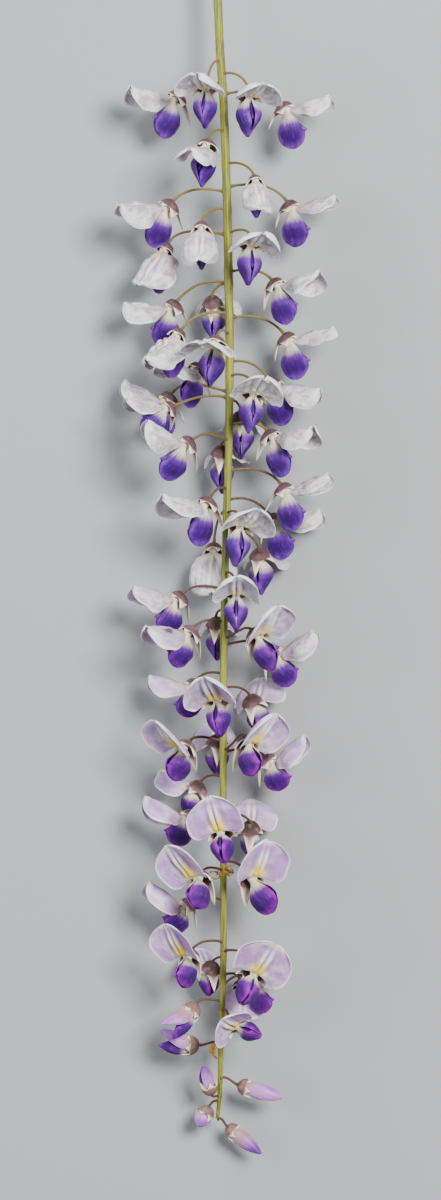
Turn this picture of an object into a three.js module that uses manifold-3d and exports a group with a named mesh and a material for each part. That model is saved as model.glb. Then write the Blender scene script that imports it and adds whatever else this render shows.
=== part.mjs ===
// A cut raceme of Japanese wisteria (Wisteria floribunda), lying on a level surface: a green main stalk,
// arching flower stalks with their calyces, open pea flowers (banner, two wings, keel), half-open flowers and
// tip buds. Millimetres, +Z up. +Y runs along the main stalk to its cut end, and the origin is the middle of
// the raceme's footprint, on the surface that it lies on.
import * as THREE from "three";
import Module from "manifold-3d";

const wasm = await Module();
wasm.setup();

// ---- Driving dimensions ----

const LAYOUT_STEP = 0.38; // one step of the layout grid that places the flowers, across or along the raceme
const LAYOUT_X = 223; // the layout column of the main stalk
const LAYOUT_Y = 600; // the layout row half-way along the raceme

// Main stalk, from the cut end to the tip: layout row, layout column, height of its middle, diameter.
const MAIN_STALK = [
  [-26, 216.6, 21, 3.8],
  [50, 220, 23, 3.7],
  [100, 223.6, 24, 3.6],
  [200, 227, 25, 3.7],
  [280, 228.6, 25, 3.8],
  [350, 229.6, 25, 3.5],
  [450, 228.6, 25, 3.1],
  [550, 225.6, 25, 3.0],
  [650, 223.8, 25, 2.9],
  [750, 223.2, 25, 2.7],
  [850, 223.4, 25, 2.6],
  [950, 223.6, 24, 2.5],
  [1010, 222.2, 21, 2.3],
  [1060, 220.6, 17, 2.0],
  [1092, 220, 14, 1.8],
  [1122, 217.6, 11, 1.4],
];
const STALK_SIDES = 8;
const STALK_STATIONS = 30;

const PEDICEL_D = 1.15; // a flower's own stalk
const PEDICEL_SIDES = 4;
const PEDICEL_STATIONS = 4;
const PEDICEL_RISE = 0.1; // how steeply a pedicel leaves the main stalk, as a share of its length
const PEDICEL_ENTRY = 0.33; // how far ahead of the calyx it turns into the calyx's own direction

const CALYX_LENGTH = 3.8; // from the pedicel to the mouth
const CALYX_MOUTH_R = 3.1;
// Calyx teeth: angle round the mouth from the banner's side, length, outward lean (mm for each mm of length).
const CALYX_TEETH = [
  [34, 1.3, 0.2],
  [108, 2.8, 0.9],
  [180, 2.6, 2.4],
  [252, 2.8, 0.9],
  [326, 1.3, 0.2],
];
const SEAT_GAP = 0.35; // between the calyx's mouth and the petals that stand in it

const PETAL_T = 0.65; // thickness of a petal
const WING_DROP = 25; // degrees between the calyx's own direction and the wings'
// The heart is the small block that all the petals' claws grow from.
const HEART = { length: 0.8, halfWidth: 1.5, below: 1.6, above: 2.1 };
const BANNER = { root: 1.35, claw: 2.8, clawTilt: 20, length: 13.6, halfWidth: 10.4, clawHalfWidth: 1.0 };
// The wings stand off the middle by `clawPart` at the claw, by `part` at the blade's edges, and bulge between.
const WING = {
  root: -0.35,
  clawPart: 0.8,
  part: 0.55,
  bulge: 3.5,
  length: 12.4,
  halfWidth: 3.9,
  clawHalfWidth: 0.9,
};
const KEEL = {
  root: -0.3,
  clawHalfWidth: 0.3,
  clawHalfDepth: 0.9,
  halfWidth: 0.6,
  halfDepth: 1.8,
  length: 10.2,
  tipLift: 1.4,
};

// Flowers, down the raceme: name, layout row of the root, layout column and row of the calyx's base, height
// of that base over the main stalk's middle, facing (degrees from straight up, + to the right), rise of the
// banner and of the wings towards the cut end (degrees), fold of the banner's sides over the wings (radians),
// size, roll about the calyx (degrees).
const FLOWERS = [
  ["01", 84, 180, 91, -5, -72, 24, -70, 0.9, 1.02, -10],
  ["02", 61, 207, 83, 9, -12, 26, -78, 0.9, 1.02, 0],
  ["03", 74, 248, 91, 10, 12, 24, -78, 0.9, 1.04, -8],
  ["04", 94, 281, 102, -3, 80, 30, -74, 0.9, 1.0, 0],
  ["05", 131, 208, 142, 9, -25, -4, -80, 1.0, 1.0, -8],
  ["06", 164, 254, 178, 8, 14, -48, -76, 1.35, 0.9, 0],
  ["07", 187, 287, 200, -6, 82, 30, -78, 0.8, 0.98, 0],
  ["08", 192, 173, 201, 1, -84, 14, -70, 0.9, 1.05, -24],
  ["09", 210, 202, 224, 8, -5, -48, -82, 1.2, 1.0, 0],
  ["10", 235, 168, 243, -5, -45, -48, -80, 0.9, 1.06, -12],
  ["11", 233, 250, 239, 11, 6, 24, -78, 0.9, 1.04, -9],
  ["12", 272, 272, 280, 2, 66, 30, -70, 0.9, 1.0, 0],
  ["13", 283, 177, 300, -7, -86, 16, -74, 0.9, 1.02, -12],
  ["14", 284, 212, 296, -8, 172, 20, -70, 0.9, 0.98, 0],
  ["15", 314, 181, 331, 6, -44, -34, -72, 1.1, 1.04, 0],
  ["16", 334, 217, 339, 14, -22, 12, -76, 0.8, 1.06, -8],
  ["17", 318, 284, 333, -4, 86, 32, -74, 1.0, 1.0, 0],
  ["18", 350, 199, 363, -8, -50, 20, -74, 0.9, 0.96, 0],
  ["19", 376, 253, 388, 12, 0, 34, -74, 0.8, 1.02, -14],
  ["20", 362, 270, 379, -5, 76, 6, -76, 1.2, 1.0, 12],
  ["21", 392, 171, 392, -14, -84, 42, -76, 0.7, 1.0, 0],
  ["22", 398, 174, 406, 3, -72, 18, -46, 0.7, 0.92, -10],
  ["23", 440, 193, 440, 12, -80, 44, -58, 1.1, 1.02, -20],
  ["24", 442, 221, 446, -10, 172, 16, -80, 0.9, 1.0, 0],
  ["25", 400, 241, 411, -6, 176, 8, -80, 0.9, 1.0, 0],
  ["26", 425, 267, 431, 4, 64, 24, -72, 1.0, 1.02, 10],
  ["27", 489, 210, 498, 10, -64, 22, -76, 0.8, 1.04, -4],
  ["28", 471, 281, 484, 0, 78, 38, -76, 1.0, 1.0, 0],
  ["29", 500, 270, 514, -11, 82, 28, -74, 0.9, 0.98, 0],
  ["30", 513, 239, 519, 12, 8, 38, -76, 0.8, 1.04, -16],
  ["31", 512, 214, 543, -15, -4, -60, -84, 0.8, 1.1, 0],
  ["32", 530, 259, 549, -6, 164, 14, -78, 0.9, 1.0, 0],
  ["33", 573, 236, 587, 12, 0, 36, -76, 0.9, 1.0, 0],
  ["34", 589, 183, 593, -1, -80, 30, -68, 0.9, 1.0, -12],
  ["35", 622, 194, 627, 6, -68, 20, -68, 0.9, 1.02, -16],
  ["36", 610, 216, 618, -9, 172, 24, -78, 0.9, 0.98, 0],
  ["37", 638, 252, 630, 9, 46, 50, -60, 0.7, 1.1, 14],
  ["38", 645, 269, 648, -7, 84, 46, -64, 0.9, 1.0, 12],
  ["39", 674, 197, 680, -6, -88, 28, -76, 0.9, 0.94, 0],
  ["40", 690, 218, 692, 12, -6, 40, -72, 0.8, 1.12, 11],
  ["41", 688, 250, 696, -6, 146, 46, -72, 0.5, 1.02, -20],
  ["42", 750, 245, 736, 9, 34, 52, -70, 0.7, 1.06, -10],
  ["43", 715, 217, 736, -10, 180, 40, -80, 0.8, 1.02, 0],
  ["44", 741, 189, 741, 4, -50, 46, -66, 0.7, 1.08, -3],
  ["45", 752, 264, 756, -4, 86, 58, -66, 0.9, 0.98, 10],
  ["46", 777, 200, 783, -9, -126, 30, -70, 0.6, 0.96, 0],
  ["47", 808, 194, 813, -3, -86, 40, -60, 1.0, 0.98, 0],
  ["48", 815, 221, 826, 12, -2, 66, -58, 0.35, 1.06, 14],
  ["49", 815, 250, 824, -8, 176, 48, -64, 0.45, 1.0, 0],
  ["50", 870, 202, 871, 9, -28, 62, -62, 0.45, 1.08, 26],
  ["51", 862, 248, 872, 9, 28, 64, -56, 0.5, 1.1, -3],
  ["52", 900, 192, 902, -5, -84, 48, -58, 0.9, 0.96, -10],
  ["53", 942, 192, 949, 7, -34, 60, -66, 0.5, 1.04, 8],
  ["54", 958, 212, 964, -8, 196, 0, -66, 0.6, 0.96, 0],
  ["55", 951, 256, 965, 11, -14, 64, -64, 0.4, 1.12, -35],
  ["56", 975, 249, 982, -4, 62, 84, -62, 0.8, 0.94, 0],
  ["57", 985, 240, 984, -13.8, 6, -50, -76, 0.6, 0.92, 0],
  ["58", 1010, 232, 1020, 9, 35, 45, -60, 0.5, 0.9, 60],
];

// Half-open flowers and buds: name, layout row of the root, layout column and row of the calyx's base, height
// over the main stalk's middle, facing, rise (degrees), length, the angle the banner stands off, girth.
const BUDS = [
  ["59", 1002, 196, 1004, 2, -58, -50, 17, 24, 1.4],
  ["60", 1044, 199, 1047, -2, -82, 2, 16, 18, 1.4],
  ["61", 1099, 212, 1097, 3, -60, 70, 12, 0, 1.0],
  ["62", 1080, 238, 1087, 0, 84, -16, 18, 0, 1.05],
  ["63", 1104, 209, 1110, -2, -60, -56, 8.5, 0, 1.0],
  ["64", 1122, 227, 1130, -1, 80, -38, 16.5, 0, 1.05],
];

// Withered parts of the main stalk: a folded bract, and the strands left where a flower fell.
const BRACT = { row: 1041, facing: -58, length: 7.2, halfWidth: 2.0 };
const STRANDS = { row: 873, count: 5, reach: 4.6, diameter: 0.8 };

const HEART_X = CALYX_LENGTH + SEAT_GAP;
const CLAWS_X = HEART_X + HEART.length;

const PETAL_COLOUR = 0xcfc2ea;
const STALK_COLOUR = 0x8b8f3c;

// ---- Small helpers ----

const rad = THREE.MathUtils.degToRad;
const smooth = (x, low, high) => THREE.MathUtils.smoothstep(x, low, high);

// A repeatable number from 0 to 1 for a flower's name and a purpose.
function chance(name, purpose) {
  const x = Math.sin(Number(name) * 12.9898 + purpose * 78.233) * 43758.5453;
  return x - Math.floor(x);
}

// Places in the layout grid as millimetres.
const across = (column) => (column - LAYOUT_X) * LAYOUT_STEP;
const along = (row) => (LAYOUT_Y - row) * LAYOUT_STEP;

// Triangles between two rows of vertices that may differ in number. A closed row runs round a ring.
function between(a, b, closed) {
  const faces = [];
  const turns = closed ? 0 : 1;
  const stepsA = a.length > 1 ? a.length - turns : 0;
  const stepsB = b.length > 1 ? b.length - turns : 0;
  let i = 0;
  let j = 0;
  while (i < stepsA || j < stepsB) {
    const stepA = j >= stepsB || (i < stepsA && (i + 0.5) / stepsA <= (j + 0.5) / stepsB);
    const p = a[i % a.length];
    const q = b[j % b.length];
    if (stepA) i += 1;
    else j += 1;
    faces.push([p, stepA ? a[i % a.length] : b[j % b.length], q]);
  }
  return faces;
}

// The triangles of a flat fan over a ring of vertices.
const fan = (ring) => ring.slice(1, -1).map((v, k) => [ring[0], v, ring[k + 2]]);

// A shell through rings of points: its points, and the triangles between them. A ring of one point is a tip.
function ringShell(rings) {
  const points = rings.flat();
  let next = 0;
  const rows = rings.map((ring) => ring.map(() => next++));
  const faces = rows.slice(1).flatMap((row, i) => between(rows[i], row, true));
  return { points, faces, first: rows[0], last: rows[rows.length - 1] };
}

// A closed solid through rings of points, with flat ends.
function ringSolid(rings) {
  const { points, faces, first, last } = ringShell(rings);
  return solidOf(points, [...faces, ...fan(first.slice().reverse()), ...fan(last)]);
}

// A petal's shell: a sheet of one thickness about rows of points on its middle surface, open at its first row.
function sheetShell(rows, thickness) {
  const middle = rows.flat();
  const count = middle.length;
  let next = 0;
  const index = rows.map((row) => row.map(() => next++));
  const front = index.slice(1).flatMap((row, i) => between(index[i], row, false));
  const normals = middle.map(() => new THREE.Vector3());
  for (const [a, b, c] of front) {
    const normal = middle[b].clone().sub(middle[a]).cross(middle[c].clone().sub(middle[a]));
    [a, b, c].forEach((v) => normals[v].add(normal));
  }
  normals.forEach((normal) => normal.normalize().multiplyScalar(thickness / 2));
  const points = [
    ...middle.map((p, k) => p.clone().add(normals[k])),
    ...middle.map((p, k) => p.clone().sub(normals[k])),
  ];
  const back = front.map(([a, b, c]) => [a + count, c + count, b + count]);
  const ends = index.slice(1, -1).map((row) => row[row.length - 1]);
  const starts = index.slice(1, -1).map((row) => row[0]);
  const [first, last] = [index[0], index[index.length - 1]];
  const rim = [first[first.length - 1], ...ends, ...last.slice().reverse(), ...starts.reverse(), first[0]];
  const edge = rim.slice(1).flatMap((q, k) => [
    [q, rim[k], rim[k] + count],
    [q, rim[k] + count, q + count],
  ]);
  const opening = [...first, ...first.map((v) => v + count).reverse()];
  return { points, faces: [...front, ...back, ...edge], first: opening };
}

// A petal or bract that stands by itself, closed along its first row.
function sheetSolid(rows, thickness) {
  const { points, faces, first } = sheetShell(rows, thickness);
  return solidOf(points, [...faces, ...fan(first.slice().reverse())]);
}

// Six times the volume that a shell holds, counted from a point in the plane of its opening.
function fullness(points, faces, from) {
  const at = (v) => points[v].clone().sub(from);
  return faces.reduce((sum, [a, b, c]) => sum + at(a).dot(at(b).cross(at(c))), 0);
}

const turnedOut = (points, faces, from) =>
  fullness(points, faces, from) > 0 ? faces : faces.map(([a, b, c]) => [a, c, b]);

function solidOf(points, faces) {
  const outward = turnedOut(points, faces, points[0]);
  const mesh = new wasm.Mesh({
    numProp: 3,
    vertProperties: new Float32Array(points.flatMap((p) => p.toArray())),
    triVerts: new Uint32Array(outward.flat()),
  });
  return new wasm.Manifold(mesh);
}

// ---- Main stalk and pedicels ----

const stalkCurve = new THREE.CatmullRomCurve3(
  MAIN_STALK.map(([row, column, height]) => new THREE.Vector3(across(column), along(row), height)),
);

// The point on the main stalk's middle, and its diameter, at a layout row.
function stalkAt(row) {
  const rows = MAIN_STALK.map((p) => p[0]);
  let i = 0;
  while (i < rows.length - 2 && row > rows[i + 1]) i += 1;
  const share = (row - rows[i]) / (rows[i + 1] - rows[i]);
  const point = stalkCurve.getPoint((i + share) / (rows.length - 1));
  return { point, diameter: THREE.MathUtils.lerp(MAIN_STALK[i][3], MAIN_STALK[i + 1][3], share) };
}

// Rings of a round tube along a path, each square to it, turned as little as they can be from the ring after.
function tube(path, radii, sides, lastSide) {
  let side = lastSide.clone();
  const rings = path.map((p, i) => ({ p, r: radii[i], ahead: headingAt(path, i) })).reverse();
  return rings
    .map(({ p, r, ahead }) => {
      side = side.clone().addScaledVector(ahead, -side.dot(ahead)).normalize();
      const rise = new THREE.Vector3().crossVectors(ahead, side);
      return Array.from({ length: sides }, (_, k) => {
        const turn = (2 * Math.PI * k) / sides;
        return p.clone().addScaledVector(rise, r * Math.cos(turn)).addScaledVector(side, r * Math.sin(turn));
      });
    })
    .reverse();
}

function headingAt(path, i) {
  return path[Math.min(i + 1, path.length - 1)].clone().sub(path[Math.max(i - 1, 0)]).normalize();
}

function mainStalk() {
  const first = MAIN_STALK[0][0];
  const last = MAIN_STALK[MAIN_STALK.length - 1][0];
  const stations = Array.from({ length: STALK_STATIONS + 1 }, (_, i) =>
    stalkAt(first + ((last - first) * i) / STALK_STATIONS),
  );
  const path = stations.map((s) => s.point);
  const radii = stations.map((s) => s.diameter / 2);
  return ringSolid(tube(path, radii, STALK_SIDES, new THREE.Vector3(1, 0, 0)));
}

// A pedicel leaves the main stalk sideways, arches over and runs into its calyx in the calyx's own direction.
function pedicelRings(rootRow, frame) {
  const root = stalkAt(rootRow).point;
  const reach = frame.base.clone().sub(root);
  const length = reach.length();
  const out = reach.clone().setY(0).normalize().multiplyScalar(length * 0.45);
  const leave = root.clone().add(out).add(new THREE.Vector3(0, length * PEDICEL_RISE, 0));
  const enter = frame.base.clone().addScaledVector(frame.ahead, -length * PEDICEL_ENTRY);
  const curve = new THREE.CubicBezierCurve3(root, leave, enter, frame.base);
  const path = Array.from({ length: PEDICEL_STATIONS + 1 }, (_, i) => curve.getPoint(i / PEDICEL_STATIONS));
  const radii = path.map(() => PEDICEL_D / 2);
  return tube(path, radii, PEDICEL_SIDES, frame.side).slice(0, -1);
}

// A point beside the main stalk: outward from its middle, towards its tip, and round it.
function besideStalk(row, facing, out, down, round) {
  const f = rad(facing);
  const { point } = stalkAt(row);
  return point
    .clone()
    .add(new THREE.Vector3(Math.sin(f), 0, Math.cos(f)).multiplyScalar(out))
    .add(new THREE.Vector3(Math.cos(f), 0, -Math.sin(f)).multiplyScalar(round))
    .add(new THREE.Vector3(0, -down, 0));
}

function bract() {
  const at = (out, down, round) =>
    besideStalk(BRACT.row, BRACT.facing, out, down * BRACT.length, round * BRACT.halfWidth);
  const rows = [
    [at(0.5, 0, -0.3), at(0.5, 0, 0.3)],
    [at(3, 0.45, -1), at(1.7, 0.5, 0), at(3, 0.45, 1)],
    [at(1.5, 1, 0)],
  ];
  return sheetSolid(rows, PETAL_T);
}

function strand(i) {
  const facing = -100 + (300 * i) / STRANDS.count;
  const curl = chance(i, 2) - 0.5;
  const at = (out, down, round) => besideStalk(STRANDS.row, facing, out * STRANDS.reach, down, round);
  const path = [at(0, 0, 0), at(0.6, -0.8 - curl, curl), at(1, 0.4, 3 * curl), at(0.8, 2.6, 4 * curl)];
  return ringSolid(tube(path, path.map(() => STRANDS.diameter / 2), 3, new THREE.Vector3(0, 0.6, 0.8)));
}

// ---- A flower, in its own frame: ahead along the calyx, side, and up towards the banner ----

// The frame of a flower from its base, facing, rise and roll.
function flowerFrame(base, facing, rise, roll) {
  const f = rad(facing);
  const e = rad(rise);
  const ahead = new THREE.Vector3(Math.sin(f) * Math.cos(e), Math.sin(e), Math.cos(f) * Math.cos(e));
  const side = new THREE.Vector3(Math.cos(f), 0, -Math.sin(f)).applyAxisAngle(ahead, rad(roll));
  const up = new THREE.Vector3().crossVectors(ahead, side);
  return { base, ahead, side, up };
}

// A point of a flower's own frame, in the raceme's.
function placed(frame, size, x, y, z) {
  return frame.base
    .clone()
    .addScaledVector(frame.ahead, x * size)
    .addScaledVector(frame.side, y * size)
    .addScaledVector(frame.up, z * size);
}

function calyxRings(frame, size) {
  const at = (x, r, turn) => placed(frame, size, x, r * Math.sin(rad(turn)), r * Math.cos(rad(turn)));
  const turns = CALYX_TEETH.map(([turn]) => turn);
  const notches = turns.map((turn, k) => (turn + (turns[k + 1] ?? turns[0] + 360)) / 2);
  const rim = CALYX_TEETH.flatMap(([turn, length, lean], k) => [
    at(CALYX_LENGTH + length * 0.8, CALYX_MOUTH_R + length * lean, turn),
    at(CALYX_LENGTH - 0.3, CALYX_MOUTH_R, notches[k]),
  ]);
  return [
    turns.map((turn) => at(CALYX_LENGTH * 0.34, CALYX_MOUTH_R * 0.8, turn)),
    rim,
    turns.map((turn) => at(CALYX_LENGTH, CALYX_MOUTH_R * 0.74, turn)),
  ];
}

// The banner's middle surface. t runs from the claw to the tip, b from one edge to the other.
function bannerPoint(t, b, open, fold, name) {
  const tilt = rad(BANNER.clawTilt);
  const start = new THREE.Vector2(CLAWS_X, BANNER.root);
  const onward = (from, angle, length) =>
    new THREE.Vector2(Math.cos(angle), Math.sin(angle)).multiplyScalar(length).add(from);
  const elbow = onward(start, tilt, BANNER.claw);
  const tip = onward(elbow, open, BANNER.length);
  const curve = new THREE.QuadraticBezierCurve(start, elbow, tip);
  const centre = curve.getPoint(t);
  const ahead = curve.getTangent(t);
  const q = t * t;
  const roundness = Math.sqrt(Math.max(0, 1 - ((q - 0.48) / 0.56) ** 2));
  const spread = roundness * smooth(q, 0, 0.14);
  const half = THREE.MathUtils.lerp(BANNER.clawHalfWidth, BANNER.halfWidth, spread);
  const bend = 0.01 + fold * (1 + 0.5 * (chance(name, 1) - 0.5) * Math.sign(b)) * smooth(t, 0, 0.3);
  const out = (half * Math.sin(bend * Math.abs(b))) / bend;
  const inward = (half * (1 - Math.cos(bend * b))) / bend;
  const sweep = half * b * b * (0.4 - 0.1 * q) * smooth(t, 0, 0.3);
  return [
    centre.x - ahead.x * sweep + ahead.y * inward,
    Math.sign(b) * out,
    centre.y - ahead.y * sweep - ahead.x * inward,
  ];
}

// A wing's middle surface. t runs from the claw to the tip, b from the lower edge to the upper one.
function wingPoint(t, b, side) {
  const blade = smooth(t, 0.08, 0.5);
  const taper = Math.sqrt(1 - (Math.max(0, t - 0.5) / 0.54) ** 2);
  const half = THREE.MathUtils.lerp(WING.clawHalfWidth, WING.halfWidth, blade * taper);
  const swell = blade * (1 - 0.8 * smooth(t, 0.55, 1));
  const part = THREE.MathUtils.lerp(WING.clawPart, WING.part, smooth(t, 0, 0.4));
  const line = rad(-WING_DROP - 6 * t);
  const x = CLAWS_X + t * WING.length * Math.cos(line) - b * half * Math.sin(line) * smooth(t, 0, 0.3);
  const z = WING.root + t * WING.length * Math.sin(line) + b * half * Math.cos(line);
  return [x, side * (part + WING.bulge * swell * (1 - b * b)), z];
}

// A rectangle across the flower, as a ring of corners.
function crossRing(at, x, halfWidth, low, high) {
  const corners = [
    [halfWidth, high],
    [halfWidth, low],
    [-halfWidth, low],
    [-halfWidth, high],
  ];
  return corners.map(([y, z]) => at(x, y, z));
}

// The keel, two petals closed into one boat between the wings.
function keelShell(at) {
  const line = rad(-WING_DROP);
  const ring = (t, halfWidth, halfDepth) => {
    const z = KEEL.root + t * KEEL.length * Math.sin(line);
    const x = CLAWS_X + t * KEEL.length * Math.cos(line);
    return crossRing(at, x, halfWidth, z - halfDepth, z + halfDepth);
  };
  const tipZ = KEEL.root + KEEL.tipLift + KEEL.length * Math.sin(line);
  return ringShell([
    ring(0, KEEL.clawHalfWidth, KEEL.clawHalfDepth),
    ring(0.45, KEEL.halfWidth, KEEL.halfDepth),
    [at(CLAWS_X + KEEL.length * Math.cos(line), 0, tipZ)],
  ]);
}

// The rows of a petal that get points: how far along the petal, and how many points across it.
const BANNER_ROWS = [
  [0, 2],
  [0.27, 2],
  [0.46, 5],
  [0.72, 5],
  [1, 3],
];
const WING_ROWS = [
  [0, 2],
  [0.21, 2],
  [0.55, 3],
  [1, 2],
];

function rowsOf(rows, pointAt) {
  return rows.map(([t, n]) => Array.from({ length: n }, (_, k) => pointAt(t, (2 * k) / (n - 1) - 1)));
}

// The petals of an open flower, grown from the front face of its heart. That face is cut into triangles round
// the openings of the petals' shells.
function corolla(frame, size, open, fold, name) {
  const at = (x, y, z) => placed(frame, size, x, y, z);
  const banner = rowsOf(BANNER_ROWS, (t, b) => at(...bannerPoint(t, b, open, fold, name)));
  const wings = [-1, 1].map((side) => rowsOf(WING_ROWS, (t, b) => at(...wingPoint(t, b, side))));
  const petals = [...[banner, ...wings].map((rows) => sheetShell(rows, PETAL_T)), keelShell(at)];

  const back = crossRing(at, HEART_X, HEART.halfWidth, -HEART.below, HEART.above);
  const front = crossRing(at, CLAWS_X, HEART.halfWidth, -HEART.below, HEART.above);
  const heart = ringShell([back, front]);
  const points = [...heart.points];
  const faces = turnedOut(points, [...heart.faces, ...fan(heart.first.slice().reverse())], front[0]);
  const openings = petals.map((petal) => {
    petal.first.forEach((v) => {
      const ahead = petal.points[v].clone().sub(front[0]).dot(frame.ahead);
      petal.points[v].addScaledVector(frame.ahead, -ahead);
    });
    const start = points.length;
    points.push(...petal.points);
    const outward = turnedOut(petal.points, petal.faces, front[0]);
    faces.push(...outward.map((face) => face.map((v) => v + start)));
    return petal.first.map((v) => v + start);
  });

  const flat = (v) => {
    const p = points[v].clone().sub(frame.base);
    return new THREE.Vector2(p.dot(frame.side), p.dot(frame.up));
  };
  const loops = [heart.last, ...openings];
  const rim = loops.flat();
  const [outline, ...holes] = loops.map((loop) => loop.map(flat));
  for (const [i, j, k] of THREE.ShapeUtils.triangulateShape(outline, holes)) {
    const [a, b, c] = [rim[i], rim[j], rim[k]];
    const [p, q, r] = [a, b, c].map(flat);
    const facesAhead = q.clone().sub(p).cross(r.clone().sub(p)) > 0;
    faces.push(facesAhead ? [a, b, c] : [a, c, b]);
  }
  return solidOf(points, faces);
}

// A closed flower in its calyx: a horn of folded petals, flattened from side to side.
function budRings(frame, length, girth) {
  const at = (x, wide, deep, k) => {
    const turn = (k * Math.PI) / 3;
    return placed(frame, 1, x, girth * wide * Math.sin(turn), girth * deep * Math.cos(turn));
  };
  const ring = (x, wide, deep, tooth = 0) =>
    Array.from({ length: 6 }, (_, k) => at(x + (k % 2 ? tooth : 0), wide, deep, k));
  return [
    ring(1.4, 2.1, 2.1),
    ring(3.4, 2.8, 2.8, 1),
    ring(3.2, 1.9, 2.2),
    ring(length * 0.45, 2.2, 2.9),
    ring(length * 0.75, 1.5, 2.2),
    [at(length, 0, 0, 0)],
  ];
}

// The banner of a flower that is about to open, standing off the other petals by an angle. Its rows: how far
// along it, half its width, and how many points across.
function openingBanner(frame, length, standOff, girth) {
  const start = 3;
  const tilt = rad(standOff);
  const rows = [
    [0, 1.2, 2],
    [0.45, 3.6, 3],
    [0.8, 3.0, 3],
    [1, 0.9, 2],
  ].map(([t, half, n]) =>
    Array.from({ length: n }, (_, k) => {
      const b = (2 * k) / (n - 1) - 1;
      const reach = start + t * (length - start);
      const lift = girth * 1.3 + reach * Math.sin(tilt * t) - 1.6 * b * b * t;
      return placed(frame, 1, reach * Math.cos(tilt * t), girth * b * half, lift);
    }),
  );
  return sheetSolid(rows, PETAL_T);
}

// ---- Assembly ----

// Builds a flower's petals and green parts, and lifts its base where it would reach below the surface.
function laidOnSurface(frame, build) {
  const solids = build(frame);
  const sunk = Math.min(...solids.map((solid) => solid.boundingBox().min[2]));
  if (sunk >= 0) return solids;
  frame.base.z -= sunk;
  return build(frame);
}

function openFlower([name, root, column, row, over, facing, bannerRise, wingRise, fold, size, roll]) {
  const base = new THREE.Vector3(across(column), along(row), stalkAt(root).point.z + over);
  const rise = wingRise + WING_DROP;
  const [green, petals] = laidOnSurface(flowerFrame(base, facing, rise, roll), (frame) => [
    ringSolid([...pedicelRings(root, frame), ...calyxRings(frame, size)]),
    corolla(frame, size, rad(bannerRise - rise), fold, name),
  ]);
  return { name, green, petals };
}

function closedFlower([, root, column, row, over, facing, rise, length, standOff, girth]) {
  const base = new THREE.Vector3(across(column), along(row), stalkAt(root).point.z + over);
  const pieces = laidOnSurface(flowerFrame(base, facing, rise, 0), (frame) => [
    ringSolid([...pedicelRings(root, frame), ...budRings(frame, length, girth)]),
    ...(standOff ? [openingBanner(frame, length, standOff, girth)] : []),
  ]);
  return pieces.reduce((whole, piece) => whole.add(piece));
}

function meshOf(name, solid, colour, roughness) {
  const made = solid.getMesh();
  const position = new Float32Array(made.numVert * 3);
  for (let i = 0; i < made.numVert; i += 1) {
    position.set(made.vertProperties.subarray(i * made.numProp, i * made.numProp + 3), i * 3);
  }
  const geometry = new THREE.BufferGeometry()
    .setAttribute("position", new THREE.BufferAttribute(position, 3))
    .setIndex(new THREE.BufferAttribute(made.triVerts, 1));
  const material = new THREE.MeshStandardMaterial({ color: colour, roughness, flatShading: true });
  const mesh = new THREE.Mesh(geometry, material);
  mesh.name = name;
  return mesh;
}

function raceme() {
  const group = new THREE.Group();
  const flowers = FLOWERS.map(openFlower);
  const strands = Array.from({ length: STRANDS.count }, (_, i) => strand(i));
  const grown = [...flowers.map(({ green }) => green), ...BUDS.map(closedFlower), bract(), ...strands];
  const stem = grown.reduce((whole, next) => whole.add(next), mainStalk());
  group.add(meshOf("stem", stem, STALK_COLOUR, 0.6));
  for (const { name, petals } of flowers) group.add(meshOf(`flower_${name}`, petals, PETAL_COLOUR, 0.7));
  const box = new THREE.Box3().setFromObject(group);
  const centre = box.getCenter(new THREE.Vector3());
  group.position.set(-centre.x, -centre.y, -box.min.z);
  return group;
}

export default raceme();
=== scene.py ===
"""A cut raceme of Japanese wisteria, lying on a level surface, dressed over its fixed CAD frame.

Sizes inside the classes are millimetres in the raceme's layout, as in the part's own source; a piece becomes
metres in the frame when its mesh is made.
"""

import logging
import math
from dataclasses import dataclass, field
from enum import Enum, IntEnum

import bpy
import numpy as np
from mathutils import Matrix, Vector


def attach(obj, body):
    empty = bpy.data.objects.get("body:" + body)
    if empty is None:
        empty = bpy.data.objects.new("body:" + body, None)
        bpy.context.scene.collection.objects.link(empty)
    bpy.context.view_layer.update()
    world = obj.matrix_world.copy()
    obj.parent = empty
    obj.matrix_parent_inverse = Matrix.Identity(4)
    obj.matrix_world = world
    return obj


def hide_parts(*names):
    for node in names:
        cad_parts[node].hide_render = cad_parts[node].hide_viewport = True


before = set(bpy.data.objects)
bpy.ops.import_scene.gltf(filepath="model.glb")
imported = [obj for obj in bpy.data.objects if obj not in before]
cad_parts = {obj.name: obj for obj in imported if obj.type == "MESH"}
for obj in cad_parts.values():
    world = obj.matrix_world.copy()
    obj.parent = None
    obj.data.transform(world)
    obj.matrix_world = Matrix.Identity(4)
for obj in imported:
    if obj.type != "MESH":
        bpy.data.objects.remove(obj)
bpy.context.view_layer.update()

log = logging.getLogger("wisteria")

Points = np.ndarray
Colour = tuple[float, float, float]

MM = 0.001
BODY = "root"

# ---- Layout of the raceme ----

LAYOUT_STEP = 0.38
LAYOUT_X = 223.0
LAYOUT_Y = 600.0
VIEW_COLUMN = 220.5
VIEW_ROWS = 1200

# Main stalk, from the cut end to the tip: layout row, layout column, height of its middle, diameter.
MAIN_STALK = (
    (-26, 216.6, 21, 3.8),
    (50, 220, 23, 3.7),
    (100, 223.6, 24, 3.6),
    (200, 227, 25, 3.7),
    (280, 228.6, 25, 3.8),
    (350, 229.6, 25, 3.5),
    (450, 228.6, 25, 3.1),
    (550, 225.6, 25, 3.0),
    (650, 223.8, 25, 2.9),
    (750, 223.2, 25, 2.7),
    (850, 223.4, 25, 2.6),
    (950, 223.6, 24, 2.5),
    (1010, 222.2, 21, 2.3),
    (1060, 220.6, 17, 2.0),
    (1092, 220, 14, 1.8),
    (1122, 217.6, 11, 1.4),
)

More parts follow.
